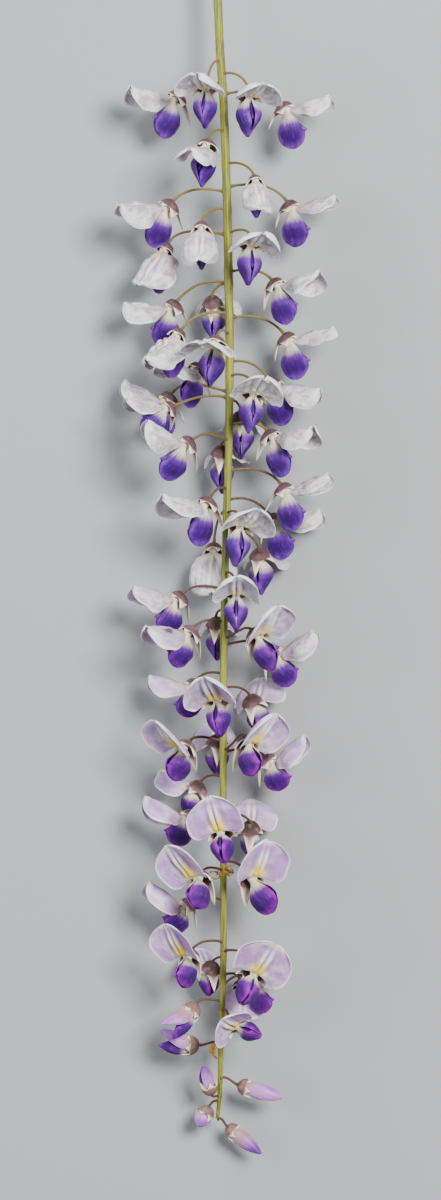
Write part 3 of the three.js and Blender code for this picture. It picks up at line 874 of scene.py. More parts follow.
@dataclass(frozen=True)
class BannerFinish(Finish):
    """White to lilac, with a yellow spot over the claw, fine veins that fan out, painted shade in the groove
    and the valleys, and painted highlights on the ridges and the rim.
    """

    name: str = "banner petal"
    roughness: float = 0.5
    glow: float = 0.2
    sheen: float = 0.12
    aged: Colour = (0.70, 0.68, 0.68)
    # thin: grey painted shade, laid in patches and streaks for the shading of crumpled old petals.
    thin: Colour = (0.19, 0.17, 0.21)
    young: Colour = (0.49, 0.27, 0.63)
    # rim: near white, laid in random pale clouds over the blade and as a painted highlight along the rim and
    # the tip.
    rim: Colour = (0.95, 0.93, 0.95)
    # ridge: painted highlight on the two ridges.
    ridge: Colour = (0.95, 0.93, 0.88)
    # valley: painted shade in the valleys beside the ridges.
    valley: Colour = (0.37, 0.27, 0.50)
    # groove: painted shade in the groove along the banner's middle.
    groove: Colour = (0.33, 0.24, 0.32)
    vein: Colour = (0.44, 0.32, 0.56)
    cream: Colour = (0.90, 0.83, 0.50)
    spot: Colour = (0.93, 0.72, 0.03)
    # olive: painted shade in the groove over the yellow spot.
    olive: Colour = (0.30, 0.20, 0.03)
    stain: Colour = (0.50, 0.42, 0.40)
    bruise: Colour = (0.10, 0.05, 0.16)
    dusk: Colour = (0.52, 0.34, 0.44)

    def tissue(self, paint: Paint, t: Socket, v: Socket) -> Socket:
        """Colours the blade with pale clouds, then with grey patches and streaks of painted shade and with
        stains, both of which grow with age.

        Args:
            paint: makes the nodes.
            t: the coordinate along the petal.
            v: the coordinate across it.

        Returns:
            The colour.
        """
        youth = paint.mark("youth")
        age = paint.math("SUBTRACT", 1.0, youth)
        body = paint.layer(self.aged, self.young, youth)
        cloud = paint.noise(paint.place(), 160.0, 3.0)
        body = paint.layer(body, self.rim, paint.step(cloud, 0.4, 0.7), 0.5)
        # Painted shade: grey patches and streaks, stronger on old petals.
        patches = paint.times(paint.noise(paint.place(), 230.0, 4.0, 0.62), 0.45)
        fan = paint.noise(paint.grain(v, 7.0, t, 2.6), 1.7, 4.0, 0.62)
        thin = paint.step(paint.line(fan, 0.55, patches), 0.43, 0.61)
        body = paint.layer(body, self.thin, thin, paint.line(age, 0.4, 0.3))
        stain = paint.step(paint.noise(paint.place(), 330.0, 4.0, 0.65), 0.48, 0.7)
        return paint.layer(body, self.stain, stain, paint.line(age, 0.3, 0.08))

    def lined(self, paint: Paint, body: Socket, t: Socket, v: Socket) -> Socket:
        """Draws the veins, then painted shade in the valleys, a painted highlight along the rim and on the two
        ridges, and painted shade in the groove between them.

        Args:
            paint: makes the nodes.
            body: the colour below.
            t: the coordinate along the petal.
            v: the coordinate across it.

        Returns:
            The colour.
        """
        b = paint.off_middle(v)
        blade = paint.times(paint.step(t, 0.25, 0.45), paint.step(t, 1.0, 0.55))
        vein = paint.step(paint.noise(paint.grain(v, 26.0, t, 1.6), 1.6, 3.0, 0.65), 0.5, 0.7)
        body = paint.layer(body, self.vein, vein, paint.step(t, 1.15, 0.5), 0.62)
        # Painted shade in the valleys beside the ridges, stronger on young petals.
        deeper = paint.line(paint.mark("youth"), 0.35, 0.4)
        body = paint.layer(body, self.valley, paint.peak(b, 0.24, 0.15), blade, deeper)
        # Painted highlight along the rim and the tip.
        body = paint.layer(body, self.rim, paint.most(paint.step(b, 0.9, 1.0), paint.step(t, 0.93, 1.02)), 0.85)
        # Painted highlight on the two ridges.
        body = paint.layer(body, self.ridge, paint.peak(b, 0.1, 0.1), paint.step(t, 1.0, 0.75), 0.95)
        # Painted shade in the groove along the middle.
        return paint.layer(body, self.groove, paint.step(b, 0.045, 0.01), blade, 0.8)

    def spotted(self, paint: Paint, body: Socket, t: Socket, b: Socket) -> Socket:
        """Lays the yellow spot over the claw, with its two arms, and a painted olive shade along the groove
        over it.

        Args:
            paint: makes the nodes.
            body: the colour below.
            t: the coordinate along the petal.
            b: how far off the petal's middle line a place lies.

        Returns:
            The colour.
        """
        youth = paint.mark("youth")
        low_part = paint.times(paint.step(t, 0.62, 0.42), paint.step(b, 0.38, 0.12))
        arms = paint.times(paint.step(t, 0.8, 0.5), paint.peak(b, 0.13, 0.14))
        body = paint.layer(body, self.spot, paint.most(low_part, arms), paint.line(youth, 0.72, 0.26))
        # Painted shade: olive along the groove over the spot.
        groove_shade = paint.times(paint.step(b, 0.06, 0.02), paint.peak(t, 0.46, 0.16))
        return paint.layer(body, self.olive, groove_shade, paint.line(youth, 0.5, 0.2))

    def colour(self, paint: Paint) -> Socket:
        """Colours the petal from its claw to its tip, with its reverse duskier.

        Args:
            paint: makes the nodes.

        Returns:
            The colour.
        """
        t, v = paint.surface()
        b = paint.off_middle(v)
        body = self.lined(paint, self.tissue(paint, t, v), t, v)
        body = paint.layer(body, self.cream, paint.step(t, 0.55, 0.25), paint.step(b, 0.8, 0.2))
        back = paint.layer(body, self.dusk, paint.step(t, 0.7, 0.15), 0.7)
        both = paint.layer(self.spotted(paint, body, t, b), back, paint.mark("reverse"))
        return paint.layer(both, self.bruise, paint.mark("bruise"))

    def relief(self, paint: Paint) -> Socket:
        """Raises fine veins that fan out from the claw, over creases that are deeper in old petals.

        Args:
            paint: makes the nodes.

        Returns:
            The normal.
        """
        t, v = paint.surface()
        veins = paint.noise(paint.grain(v, 30.0, t, 2.0), 1.5, 3.0, 0.6)
        creases = paint.noise(paint.place(), 380.0, 3.0, 0.6)
        worn = paint.times(creases, paint.line(paint.mark("youth"), -1.6, 2.4))
        return paint.bump(paint.math("ADD", veins, worn), 0.0004, 0.8)


@dataclass(frozen=True)
class WingFinish(Finish):
    """Cream at the claw, then violet with darker streaks, with a paler painted highlight along the rim."""

    name: str = "wing petal"
    roughness: float = 0.5
    glow: float = 0.04
    gloss: float = 0.2
    cream: Colour = (0.84, 0.77, 0.57)
    aged: Colour = (0.050, 0.004, 0.165)
    young: Colour = (0.065, 0.001, 0.165)
    pale: Colour = (0.22, 0.06, 0.50)
    flush: Colour = (0.30, 0.012, 0.43)
    streak: Colour = (0.03, 0.004, 0.11)

    def colour(self, paint: Paint) -> Socket:
        """Colours the petal from its claw to its tip.

        Args:
            paint: makes the nodes.

        Returns:
            The colour.
        """
        t, v = paint.surface()
        b = paint.off_middle(v)
        youth = paint.mark("youth")
        deep, light = paint.layer(self.aged, self.young, youth), paint.layer(self.pale, self.flush, youth)
        # Painted highlight: paler violet along the rim and the tip, in clouds.
        rim = paint.most(paint.step(b, 0.6, 1.05), paint.step(t, 0.75, 1.05))
        cloud = paint.noise(paint.place(), 300.0, 2.0)
        body = paint.layer(deep, light, rim, paint.step(cloud, 0.25, 0.6))
        dim = paint.times(paint.step(b, 0.95, 0.2), paint.peak(t, 0.72, 0.4))
        body = paint.layer(body, self.streak, dim, paint.line(youth, 0.2, 0.5))
        bow = paint.times(paint.math("POWER", b, 2.0), 0.35)
        grain = paint.grain(paint.math("ADD", v, bow), 11.0, t, 1.8)
        body = paint.layer(body, self.streak, paint.step(paint.noise(grain, 1.7, 3.0, 0.7), 0.5, 0.62), 0.6)
        body = paint.layer(body, light, paint.step(paint.noise(grain, 2.9, 2.0, 0.6), 0.56, 0.72), 0.5)
        reach = paint.math("ADD", t, paint.line(paint.noise(grain, 1.2, 2.0), 0.16, -0.08))
        body = paint.layer(body, self.pale, paint.step(reach, 0.6, 0.36), paint.line(youth, -0.2, 0.35))
        return paint.layer(self.cream, body, paint.step(reach, 0.17, 0.44))

    def relief(self, paint: Paint) -> Socket:
        """Fine creases along the petal."""
        t, v = paint.surface()
        return paint.bump(paint.noise(paint.grain(v, 18.0, t, 2.2), 1.8, 3.0, 0.6), 0.0007, 0.8)


@dataclass(frozen=True)
class KeelFinish(Finish):
    """A dark violet boat with a cream claw and a magenta tip."""

    name: str = "keel petal"
    roughness: float = 0.5
    glow: float = 0.05
    cream: Colour = (0.72, 0.68, 0.52)
    violet: Colour = (0.045, 0.01, 0.15)
    magenta: Colour = (0.17, 0.015, 0.30)

    def colour(self, paint: Paint) -> Socket:
        """Colours the petal from its claw to its tip.

        Args:
            paint: makes the nodes.

        Returns:
            The colour.
        """
        t, _ = paint.surface()
        body = paint.layer(self.cream, self.violet, paint.step(t, 0.2, 0.42))
        return paint.layer(body, self.magenta, paint.step(t, 0.84, 1.0))


@dataclass(frozen=True)
class CalyxFinish(Finish):
    """Dusty mauve-brown, mottled, with long cream teeth."""

    name: str = "calyx"
    roughness: float = 0.7
    glow: float = 0.08
    sheen: float = 0.1
    base: Colour = (0.035, 0.018, 0.010)
    mauve: Colour = (0.13, 0.06, 0.07)
    pale: Colour = (0.31, 0.20, 0.21)
    dark: Colour = (0.05, 0.02, 0.025)
    flesh: Colour = (0.52, 0.36, 0.34)
    cream: Colour = (0.86, 0.79, 0.55)

    def colour(self, paint: Paint) -> Socket:
        """Colours the calyx from its base to its teeth.

        Args:
            paint: makes the nodes.

        Returns:
            The colour.
        """
        t, _ = paint.surface()
        youth = paint.mark("youth")
        cloud = paint.noise(paint.place(), 400.0, 3.0, 0.5)
        reach = paint.line(youth, -0.14, paint.math("ADD", t, paint.line(cloud, 0.5, -0.25)))
        body = paint.layer(self.base, self.mauve, paint.step(reach, 0.1, 0.46))
        body = paint.layer(body, self.pale, paint.step(cloud, 0.5, 0.72), 0.4)
        body = paint.layer(body, self.dark, paint.step(cloud, 0.48, 0.3), 0.6)
        body = paint.layer(body, self.dark, paint.line(youth, -0.45, 0.45))
        body = paint.layer(body, self.flesh, paint.step(t, 0.54, 0.78))
        return paint.layer(body, self.cream, paint.step(t, 0.68, 0.92))

    def relief(self, paint: Paint) -> Socket:
        """A finely wrinkled skin."""
        return paint.bump(paint.noise(paint.place(), 2500.0, 3.0), 0.0001, 0.6)


@dataclass(frozen=True)
class BudCalyxFinish(CalyxFinish):
    """A lighter, browner calyx."""

    name: str = "bud calyx"
    base: Colour = (0.10, 0.05, 0.03)
    mauve: Colour = (0.27, 0.16, 0.13)
    pale: Colour = (0.48, 0.36, 0.29)
    dark: Colour = (0.13, 0.06, 0.05)


@dataclass(frozen=True)
class PedicelFinish(Finish):
    """Green to red-brown flower stalks."""

    name: str = "pedicel"
    sheen: float = 0.15
    green: Colour = (0.16, 0.12, 0.022)
    brown: Colour = (0.075, 0.036, 0.024)

    def colour(self, paint: Paint) -> Socket:
        """Colours the stalk from the main stalk to the calyx.

        Args:
            paint: makes the nodes.

        Returns:
            The colour.
        """
        along = paint.mark("along")
        cloud = paint.noise(paint.place(), 700.0, 3.0)
        red = paint.math("ADD", paint.mark("tone"), paint.line(cloud, 0.8, -0.4))
        body = paint.layer(self.green, self.brown, paint.step(red, 0.25, 0.75))
        ends = paint.most(paint.step(along, 0.16, 0.04), paint.step(along, 0.86, 1.0))
        return paint.layer(body, self.brown, ends, 0.4)

    def relief(self, paint: Paint) -> Socket:
        """A slightly uneven skin."""
        return paint.bump(paint.noise(paint.place(), 1800.0, 3.0), 0.0001, 0.6)


@dataclass(frozen=True)
class StalkFinish(Finish):
    """A yellow-green main stalk with olive streaks and small dark flecks."""

    name: str = "main stalk"
    roughness: float = 0.45
    glow: float = 0.05
    light: Colour = (0.23, 0.245, 0.022)
    olive: Colour = (0.085, 0.10, 0.010)
    straw: Colour = (0.30, 0.27, 0.05)
    fleck: Colour = (0.10, 0.05, 0.015)
    pith: Colour = (0.62, 0.64, 0.36)

    def colour(self, paint: Paint) -> Socket:
        """Streaks the stalk along its length, and shows the pith at its cut.

        Args:
            paint: makes the nodes.

        Returns:
            The colour.
        """
        streak = paint.noise(paint.place((1.0, 0.05, 1.0)), 1500.0, 3.0, 0.6)
        body = paint.layer(self.light, self.olive, paint.step(streak, 0.38, 0.68))
        patch = paint.noise(paint.place((1.0, 0.25, 1.0)), 160.0, 2.0)
        body = paint.layer(body, self.straw, paint.step(patch, 0.45, 0.7), 0.5)
        fleck = paint.noise(paint.place((1.0, 0.5, 1.0)), 1900.0, 1.0)
        body = paint.layer(body, self.fleck, paint.step(fleck, 0.66, 0.75), 0.7)
        return paint.layer(body, self.pith, paint.mark("pith"))

    def relief(self, paint: Paint) -> Socket:
        """Fibres along the stalk."""
        return paint.bump(paint.noise(paint.place((1.0, 0.04, 1.0)), 1800.0, 3.0), 0.00015, 0.8)


@dataclass(frozen=True)
class WitheredFinish(Finish):
    """Dried ochre tissue."""

    name: str = "withered"
    roughness: float = 0.6
    light: Colour = (0.62, 0.36, 0.07)
    dark: Colour = (0.22, 0.09, 0.02)

    def colour(self, paint: Paint) -> Socket:
        """Ochre, patched with brown."""
        cloud = paint.noise(paint.place(), 700.0, 3.0)
        return paint.layer(self.light, self.dark, paint.step(cloud, 0.4, 0.65))


@dataclass(frozen=True)
class DownFinish(Finish):
    """Short pale hairs."""

    name: str = "down"
    roughness: float = 0.6
    glow: float = 0.2
    dusty: Colour = (0.26, 0.17, 0.16)
    pale: Colour = (0.52, 0.42, 0.36)

    def colour(self, paint: Paint) -> Socket:
        """A dusty tone that varies from place to place."""
        return paint.layer(self.dusty, self.pale, paint.noise(paint.place(), 200.0, 1.0))


@dataclass(frozen=True)
class BudFinish(Finish):
    """Lilac folded petals, deeper towards the tip."""

    name: str = "bud petal"
    roughness: float = 0.5
    glow: float = 0.2
    sheen: float = 0.2
    lilac: Colour = (0.50, 0.22, 0.64)
    streak: Colour = (0.24, 0.03, 0.42)
    deep: Colour = (0.13, 0.008, 0.28)
    tan: Colour = (0.33, 0.19, 0.15)
    base: Colour = (0.46, 0.29, 0.30)
    # rim: pale painted highlight along the banner's edges.
    rim: Colour = (0.80, 0.68, 0.86)

    def colour(self, paint: Paint) -> Socket:
        """Colours the petal from its base to its tip.

        Args:
            paint: makes the nodes.

        Returns:
            The colour.
        """
        t, v = paint.surface()
        streak = paint.step(paint.noise(paint.grain(v, 16.0, t, 1.5), 1.5, 3.0, 0.6), 0.45, 0.7)
        body = paint.layer(self.lilac, self.streak, streak, 0.7)
        body = paint.layer(body, self.deep, paint.step(t, 0.35, 0.85), paint.mark("depth"))
        first_half = paint.step(paint.line(streak, 0.1, t), 0.66, 0.42)
        body = paint.layer(body, self.tan, first_half, paint.mark("tan"))
        body = paint.layer(body, self.base, paint.step(t, 0.4, 0.1))
        # Painted highlight along the edges.
        return paint.layer(body, self.rim, paint.step(paint.off_middle(v), 0.88, 1.0), 0.6)


class GrowthTree(Sketch):
    """A Geometry Nodes tree with named inputs."""

    def __init__(self, name: str, **sockets: str) -> None:
        """Makes the tree with its inputs.

        Args:
            name: the tree's name, and the name of what it grows beside its source.
            **sockets: the type of each input, by its name with spaces as underscores.
        """
        self.name = name
        self.group = bpy.data.node_groups.new(name, "GeometryNodeTree")
        super().__init__(self.group)
        face = self.group.interface
        face.new_socket("Geometry", in_out="INPUT", socket_type="NodeSocketGeometry")
        face.new_socket("Geometry", in_out="OUTPUT", socket_type="NodeSocketGeometry")
        self.identifiers = {}
        for key, kind in sockets.items():
            title = key.replace("_", " ")
            made = face.new_socket(title, in_out="INPUT", socket_type="NodeSocket" + kind)
            self.identifiers[title] = made.identifier
        self.given = self.node("NodeGroupInput")
        self.build()

    def build(self) -> None:
        """Adds the tree's nodes."""
        raise NotImplementedError

    def named(self, name: str) -> Socket:
        """A value that the source carries."""
        node = self.node("GeometryNodeInputNamedAttribute", name, data_type="FLOAT")
        return self.out(node)

    def finished(self, geometry: Socket) -> None:
        """Ends the tree: realized, smooth, in its finish.

        Args:
            geometry: what the tree has grown.
        """
        whole = self.out(self.node("GeometryNodeRealizeInstances", geometry))
        soft = self.out(self.node("GeometryNodeSetShadeSmooth", whole))
        dressed = self.node("GeometryNodeSetMaterial", soft)
        self.node("NodeGroupOutput", self.fill(dressed, Material=self.given.outputs["Finish"]))


class TubeTree(GrowthTree):
    """Grows a closed, ribbed tube along each line of its source, as thick as the line's radius says."""

    def __init__(self) -> None:
        """Makes the tree."""
        super().__init__("Grown stalks", Sides="Int", Ribs="Float", Rib_depth="Float", Finish="Material")

    def build(self) -> None:
        """Adds the tree's nodes."""
        given = self.given.outputs
        line = self.out(self.node("GeometryNodeMeshToCurve", given["Geometry"]))
        radius = self.named("radius")
        circle = self.fill(self.node("GeometryNodeCurvePrimitiveCircle", given["Sides"]), Radius=1.0)
        turn = self.node("GeometryNodeSplineParameter").outputs["Factor"]
        marked = self.node("GeometryNodeStoreNamedAttribute", data_type="FLOAT", domain="POINT")
        section = self.fill(marked, Geometry=circle, Name="around", Value=turn)
        thick = self.fill(self.node("GeometryNodeSetCurveRadius", line), Radius=radius)
        tube = self.node("GeometryNodeCurveToMesh", thick, section)
        self.fill(tube, Fill_Caps=True)
        if "Scale" in tube.inputs:
            self.fill(tube, Scale=radius)
        phase = self.math("MULTIPLY", self.named("around"), self.math("MULTIPLY", given["Ribs"], math.tau))
        rib = self.math("MULTIPLY", self.math("SINE", phase), given["Rib depth"])
        normal = self.node("GeometryNodeInputNormal").outputs["Normal"]
        offset = self.fill(self.node("ShaderNodeVectorMath", normal, operation="SCALE"), Scale=rib)
        self.finished(self.fill(self.node("GeometryNodeSetPosition", self.out(tube)), Offset=offset))


class DownTree(GrowthTree):
    """Grows short hairs all over its source, each a thin cone.

    Attributes:
        sides: how many sides a cone has.
        lean: the least and the greatest turn of a hair, in radians about each axis.
        size: the least and the greatest size of a hair, as a share of its length.
    """

    sides: int = 3
    lean: tuple[tuple[float, float, float], ...] = ((-0.7, -0.7, 0.0), (0.7, 0.7, 3.1))
    size: tuple[float, float] = (0.5, 1.3)

    def __init__(self) -> None:
        """Makes the tree."""
        sizes = {"Density": "Float", "Length": "Float", "Thickness": "Float"}
        super().__init__("down", **sizes, Seed="Int", Finish="Material")

    def build(self) -> None:
        """Adds the tree's nodes."""
        given = self.given.outputs
        roots = self.node("GeometryNodeDistributePointsOnFaces", given["Geometry"])
        points = self.fill(roots, Density=given["Density"], Seed=given["Seed"])
        hair = self.fill(
            self.node("GeometryNodeMeshCone"), Vertices=self.sides, Radius_Top=0.0,
            Radius_Bottom=given["Thickness"], Depth=given["Length"],
        )
        lean = self.node("FunctionNodeRandomValue", *self.lean, data_type="FLOAT_VECTOR")
        size = self.node("FunctionNodeRandomValue", *self.size, data_type="FLOAT")
        placed = self.fill(
            self.node("GeometryNodeInstanceOnPoints", points), Instance=hair,
            Rotation=roots.outputs["Rotation"], Scale=self.out(size),
        )
        turn = self.fill(lean, Seed=given["Seed"])
        self.finished(self.fill(self.node("GeometryNodeRotateInstances", placed), Rotation=turn))


# ---- The raceme's parts ----


@dataclass
class MainStalk:
    """The main stalk: ribbed, slightly uneven, and a little thicker where a flower stalk leaves it.

    Attributes:
        stations: how many points its line has.
        sides: how many faces it has round it.
        ribs: how many ribs run along it.
        rib_depth: in metres.
        slimness: its share of the solid stalk's diameter, towards the cut end and towards the tip.
        slimness_rows: the layout rows between which that share changes.
        knot: how much thicker it is where a flower stalk leaves it, as a share.
        knot_reach: how far a knot reaches, in layout rows.
        waves: share, turn for each row and start of each wave in its thickness.
    """

    stations: int = 320
    sides: int = 40
    ribs: float = 7.0
    rib_depth: float = 0.00006
    slimness: tuple[float, float] = (0.86, 0.96)
    slimness_rows: tuple[float, float] = (200, 700)
    knot: float = 0.07
    knot_reach: float = 4.0
    waves: tuple[tuple[float, float, float], ...] = ((0.015, 0.31, 0), (0.012, 0.117, 2))

    def make(self, maker: Maker, roots: list[float]) -> None:
        """Makes the stalk, in the place of the CAD stem.

        Args:
            maker: makes the piece.
            roots: the layout rows where flower stalks leave it.
        """
        rows = np.linspace(MAIN_STALK[0][0], MAIN_STALK[-1][0], self.stations)
        places = [MainLine.at(r) for r in rows]
        radii = np.array([d / 2 for _, d in places]) * mix(*self.slimness, smooth(rows, *self.slimness_rows))
        for root in roots:
            radii = radii * (1 + self.knot * bell(rows, root, self.knot_reach))
        radii *= 1 + sum(share * np.sin(rows * turn + start) for share, turn, start in self.waves)
        marks = {"radius": [radii * MM], "pith": [(rows < rows[0] + 0.1).astype(float)]}
        line = maker.lines("main_stalk", [np.array([p for p, _ in places])], marks)
        made = maker.grown(
            line, TUBES, Sides=self.sides, Ribs=self.ribs, Rib_depth=self.rib_depth,
            Finish=StalkFinish().material(),
        )
        maker.hand_in(made, "stalk", "stem")


class Cup(Enum):
    """The finishes of the calyces, in the order of their materials."""

    FLOWER = 0
    BUD = 1


@dataclass
class Calyx:
    """A shallow cup that gapes on its lower side, with five teeth.

    Attributes:
        stand: where it stands.
        size: of its flower.
        number: of its flower.
        gape: how far its lower side opens, from 0, an even cup, to 1.
        wall: the cup's thickness.
        kind: an open flower's or a bud's.
        youth: from 0, an old flower's, to 1, a young one's.
        sharpness: how fast the teeth narrow, from 1, plain triangles, up.
        teeth: angle from the banner's side, length, and outward lean in degrees, of each tooth.
        even: how far ahead and how far out the wall of an even cup runs, from its base to its mouth.
        gaping: the same on the lower side of a cup that gapes.
        backs: the places in the wall, from the mouth to the base, where the inside follows it, and how far
            ahead of it the inside runs.
        sides: how many points it has round it.
        ribs: how many ribs run down its wall.
        rib_depth: as a share of its width.
        cup: the share of the first surface coordinate that the wall takes, below the teeth.
    """

    stand: Stand
    size: float
    number: int
    gape: float = 1.0
    wall: float = 0.35
    kind: Cup = Cup.FLOWER
    youth: float = 0.0
    sharpness: float = 1.9
    teeth: tuple[tuple[float, float, float], ...] = (
        (34, 1.6, 12), (110, 3.4, 36), (180, 7.2, 58), (250, 3.4, 36), (326, 1.6, 12),
    )
    even: tuple[tuple[float, float], ...] = (
        (-0.1, 0.55), (0.1, 1.15), (0.6, 1.95), (1.4, 2.55), (2.4, 2.9), (3.2, 3.05),
    )
    gaping: tuple[tuple[float, float], ...] = (
        (-0.1, 0.55), (-0.1, 1.4), (0.15, 2.6), (0.6, 3.7), (1.2, 4.6), (1.9, 5.2),
    )
    backs: tuple[tuple[int, float], ...] = ((5, 0.25), (4, 0.3), (3, 0.4), (2, 0.6))
    sides: int = 60
    ribs: int = 10
    rib_depth: float = 0.03
    cup: float = 0.6

    def rim(self, turn: Points) -> tuple[Points, Points]:
        """The teeth's outline.

        Args:
            turn: the angles round the mouth, in degrees.

        Returns:
            How far ahead and how far out the rim stands over the mouth, at each angle.
        """
        ahead, out = np.full(turn.shape, -0.1), np.zeros(turn.shape)
        count = len(self.teeth)
        for k, (at, length, lean) in enumerate(self.teeth):
            off = (turn - at + 180) % 360 - 180
            before = (at - self.teeth[k - 1][0]) % 360 / 2
            after = (self.teeth[(k + 1) % count][0] - at) % 360 / 2
            share = np.clip(1 - np.abs(off) / np.where(off < 0, before, after), 0, 1) ** self.sharpness
            long = length * (0.8 + 0.4 * chance(self.number, Draw.TOOTH_LENGTH + k))
            bend = chance(self.number, Draw.TOOTH_LEAN + k) - 0.5
            slope = math.radians(lean + 22 * self.gape * bend)
            ahead += share * (long * math.cos(slope) + 0.1)
            out += share * long * math.sin(slope)
        return ahead, out

    def surface(self) -> Surface:
        """The cup, its inside and its teeth.

        Returns:
            One closed surface.
        """
        turns = np.linspace(0, 360, self.sides, endpoint=False)
        lower = self.gape * (0.5 - 0.5 * np.cos(np.radians(turns))) ** 1.5
        ahead, out = self.rim(turns)
        rib = 1 + self.rib_depth * np.cos(np.radians(turns) * self.ribs)
        wall = [
            (mix(x, low_x, lower), mix(r, low_r, lower))
            for (x, r), (low_x, low_r) in zip(self.even, self.gaping)
        ]
        rings = [self.ring(x, r * rib, turns) for x, r in wall]
        along = [self.cup * k / (len(wall) - 1) for k in range(len(wall))]
        mouth, width = wall[-1]
        for share in (0.2, 0.4, 0.6, 0.8, 1.0):
            rings.append(self.ring(mouth + ahead * share**1.25, width + out * share**0.85, turns))
            along.append(self.cup + (1 - self.cup) * share)
        for share in (1.0, 0.75, 0.5, 0.25):
            inside = width - self.wall + out * share**0.85
            rings.append(self.ring(mouth + 0.1 * (1 - share) + ahead * share**1.25, inside, turns))
            along.append(self.cup + (1 - self.cup) * share)
        for k, back in self.backs:
            x, r = wall[k]
            rings.append(self.ring(x + back, np.maximum(r - self.wall, 0.5), turns))
            along.append(self.cup * k / (len(wall) - 1))
        return loft(np.array(rings), np.array(along), self.kind.value).marked(youth=self.youth)

    def ring(self, x: Points | float, r: Points, turns: Points) -> Points:
        """A ring of points round the calyx, ahead and out as far as given at each angle in degrees."""
        angle = np.radians(turns)
        return self.stand.placed(self.size, np.broadcast_to(x, r.shape), r * np.sin(angle), r * np.cos(angle))


@dataclass
class Calyces:
    """All the calyces, with their down.

    Attributes:
        cups: every calyx.
        down_density: how many hairs stand on a square metre.
        down_length: of a hair, in metres.
        down_thickness: of a hair, in metres.
        seed: of the hairs' places and turns.
    """

    cups: list[Calyx]
    down_density: float = 7.0e5
    down_length: float = 0.0004
    down_thickness: float = 0.00002
    seed: int = 7

    def make(self, maker: Maker) -> None:
        """Makes the calyces as one piece and their down as another.

        Args:
            maker: makes the pieces.
        """
        finishes = [CalyxFinish().material(), BudCalyxFinish().material()]
        made = maker.piece("calyces", Surface.joined([c.surface() for c in self.cups]), finishes)
        down = maker.grown(
            made, DOWN, keep=True, Density=self.down_density, Length=self.down_length,
            Thickness=self.down_thickness, Seed=self.seed, Finish=DownFinish().material(),
        )
        maker.hand_in(made, "stalk")
        maker.hand_in(down, "stalk")


@dataclass
class Pedicel:
    """The arching stalk of one flower.

    Attributes:
        root_row: the layout row where it leaves the main stalk.
        stand: of its flower.
        redness: from green to red-brown.
        diameter: of its middle.
        root_radius: where it leaves the main stalk.
        end_swell: its radius at the calyx, as a share of its diameter.
        stations: how many points its line has.
        spread: how far it runs straight out of the main stalk, as a share of its length.
        climb: how far it leaves towards the cut end, as a share of its length.
        entry: how far ahead of the calyx it turns into the calyx's direction, as a share of its length.
    """

    root_row: float
    stand: Stand
    redness: float
    diameter: float = 1.0
    root_radius: float = 1.35
    end_swell: float = 0.72
    stations: int = 26
    spread: float = 0.45
    climb: float = 0.1
    entry: float = 0.33

    def path(self) -> Points:
        """The stalk's middle line.

        Returns:
            Its points, from the main stalk to the calyx.
        """
        root, _ = MainLine.at(self.root_row)
        end = self.stand.base
        length = float(np.linalg.norm(end - root))
        outward = unit((end - root) * np.array([1, 0, 1])) * length * self.spread
        leave = root + outward + np.array([0, length * self.climb, 0])
        enter = end - self.stand.ahead * length * self.entry
        s = np.linspace(0, 1, self.stations)[:, None]
        return (1 - s) ** 3 * root + 3 * s * (1 - s) ** 2 * leave + 3 * s**2 * (1 - s) * enter + s**3 * end

    def radii(self) -> Points:
        """The stalk's radii; it swells at both ends.

        Returns:
            The radius at each point, in metres.
        """
        s, middle = np.linspace(0, 1, self.stations), self.diameter / 2
        root, end = self.root_radius - middle, self.diameter * self.end_swell - middle
        return (middle + root * bell(s, 0, 0.055) + end * bell(s, 1, 0.1)) * MM


@dataclass
class Pedicels:
    """All the flower stalks.

    Attributes:
        stalks: every flower stalk.
        sides: how many faces each has round it.
        ribs: how many ribs run along each.
        rib_depth: in metres.
    """

    stalks: list[Pedicel]
    sides: int = 10
    ribs: float = 5.0
    rib_depth: float = 0.00002

    def make(self, maker: Maker) -> None:
        """Makes the flower stalks as one piece.

        Args:
            maker: makes the piece.
        """
        marks = {
            "radius": [p.radii() for p in self.stalks],
            "along": [np.linspace(0, 1, p.stations) for p in self.stalks],
            "tone": [np.full(p.stations, p.redness) for p in self.stalks],
        }
        line = maker.lines("pedicels", [p.path() for p in self.stalks], marks)
        made = maker.grown(
            line, TUBES, Sides=self.sides, Ribs=self.ribs, Rib_depth=self.rib_depth,
            Finish=PedicelFinish().material(),
        )
        maker.hand_in(made, "stalk")


class Petal(Enum):
    """The finishes of a flower's faces, in the order of its materials."""

    BANNER = 0
    WING = 1
    KEEL = 2


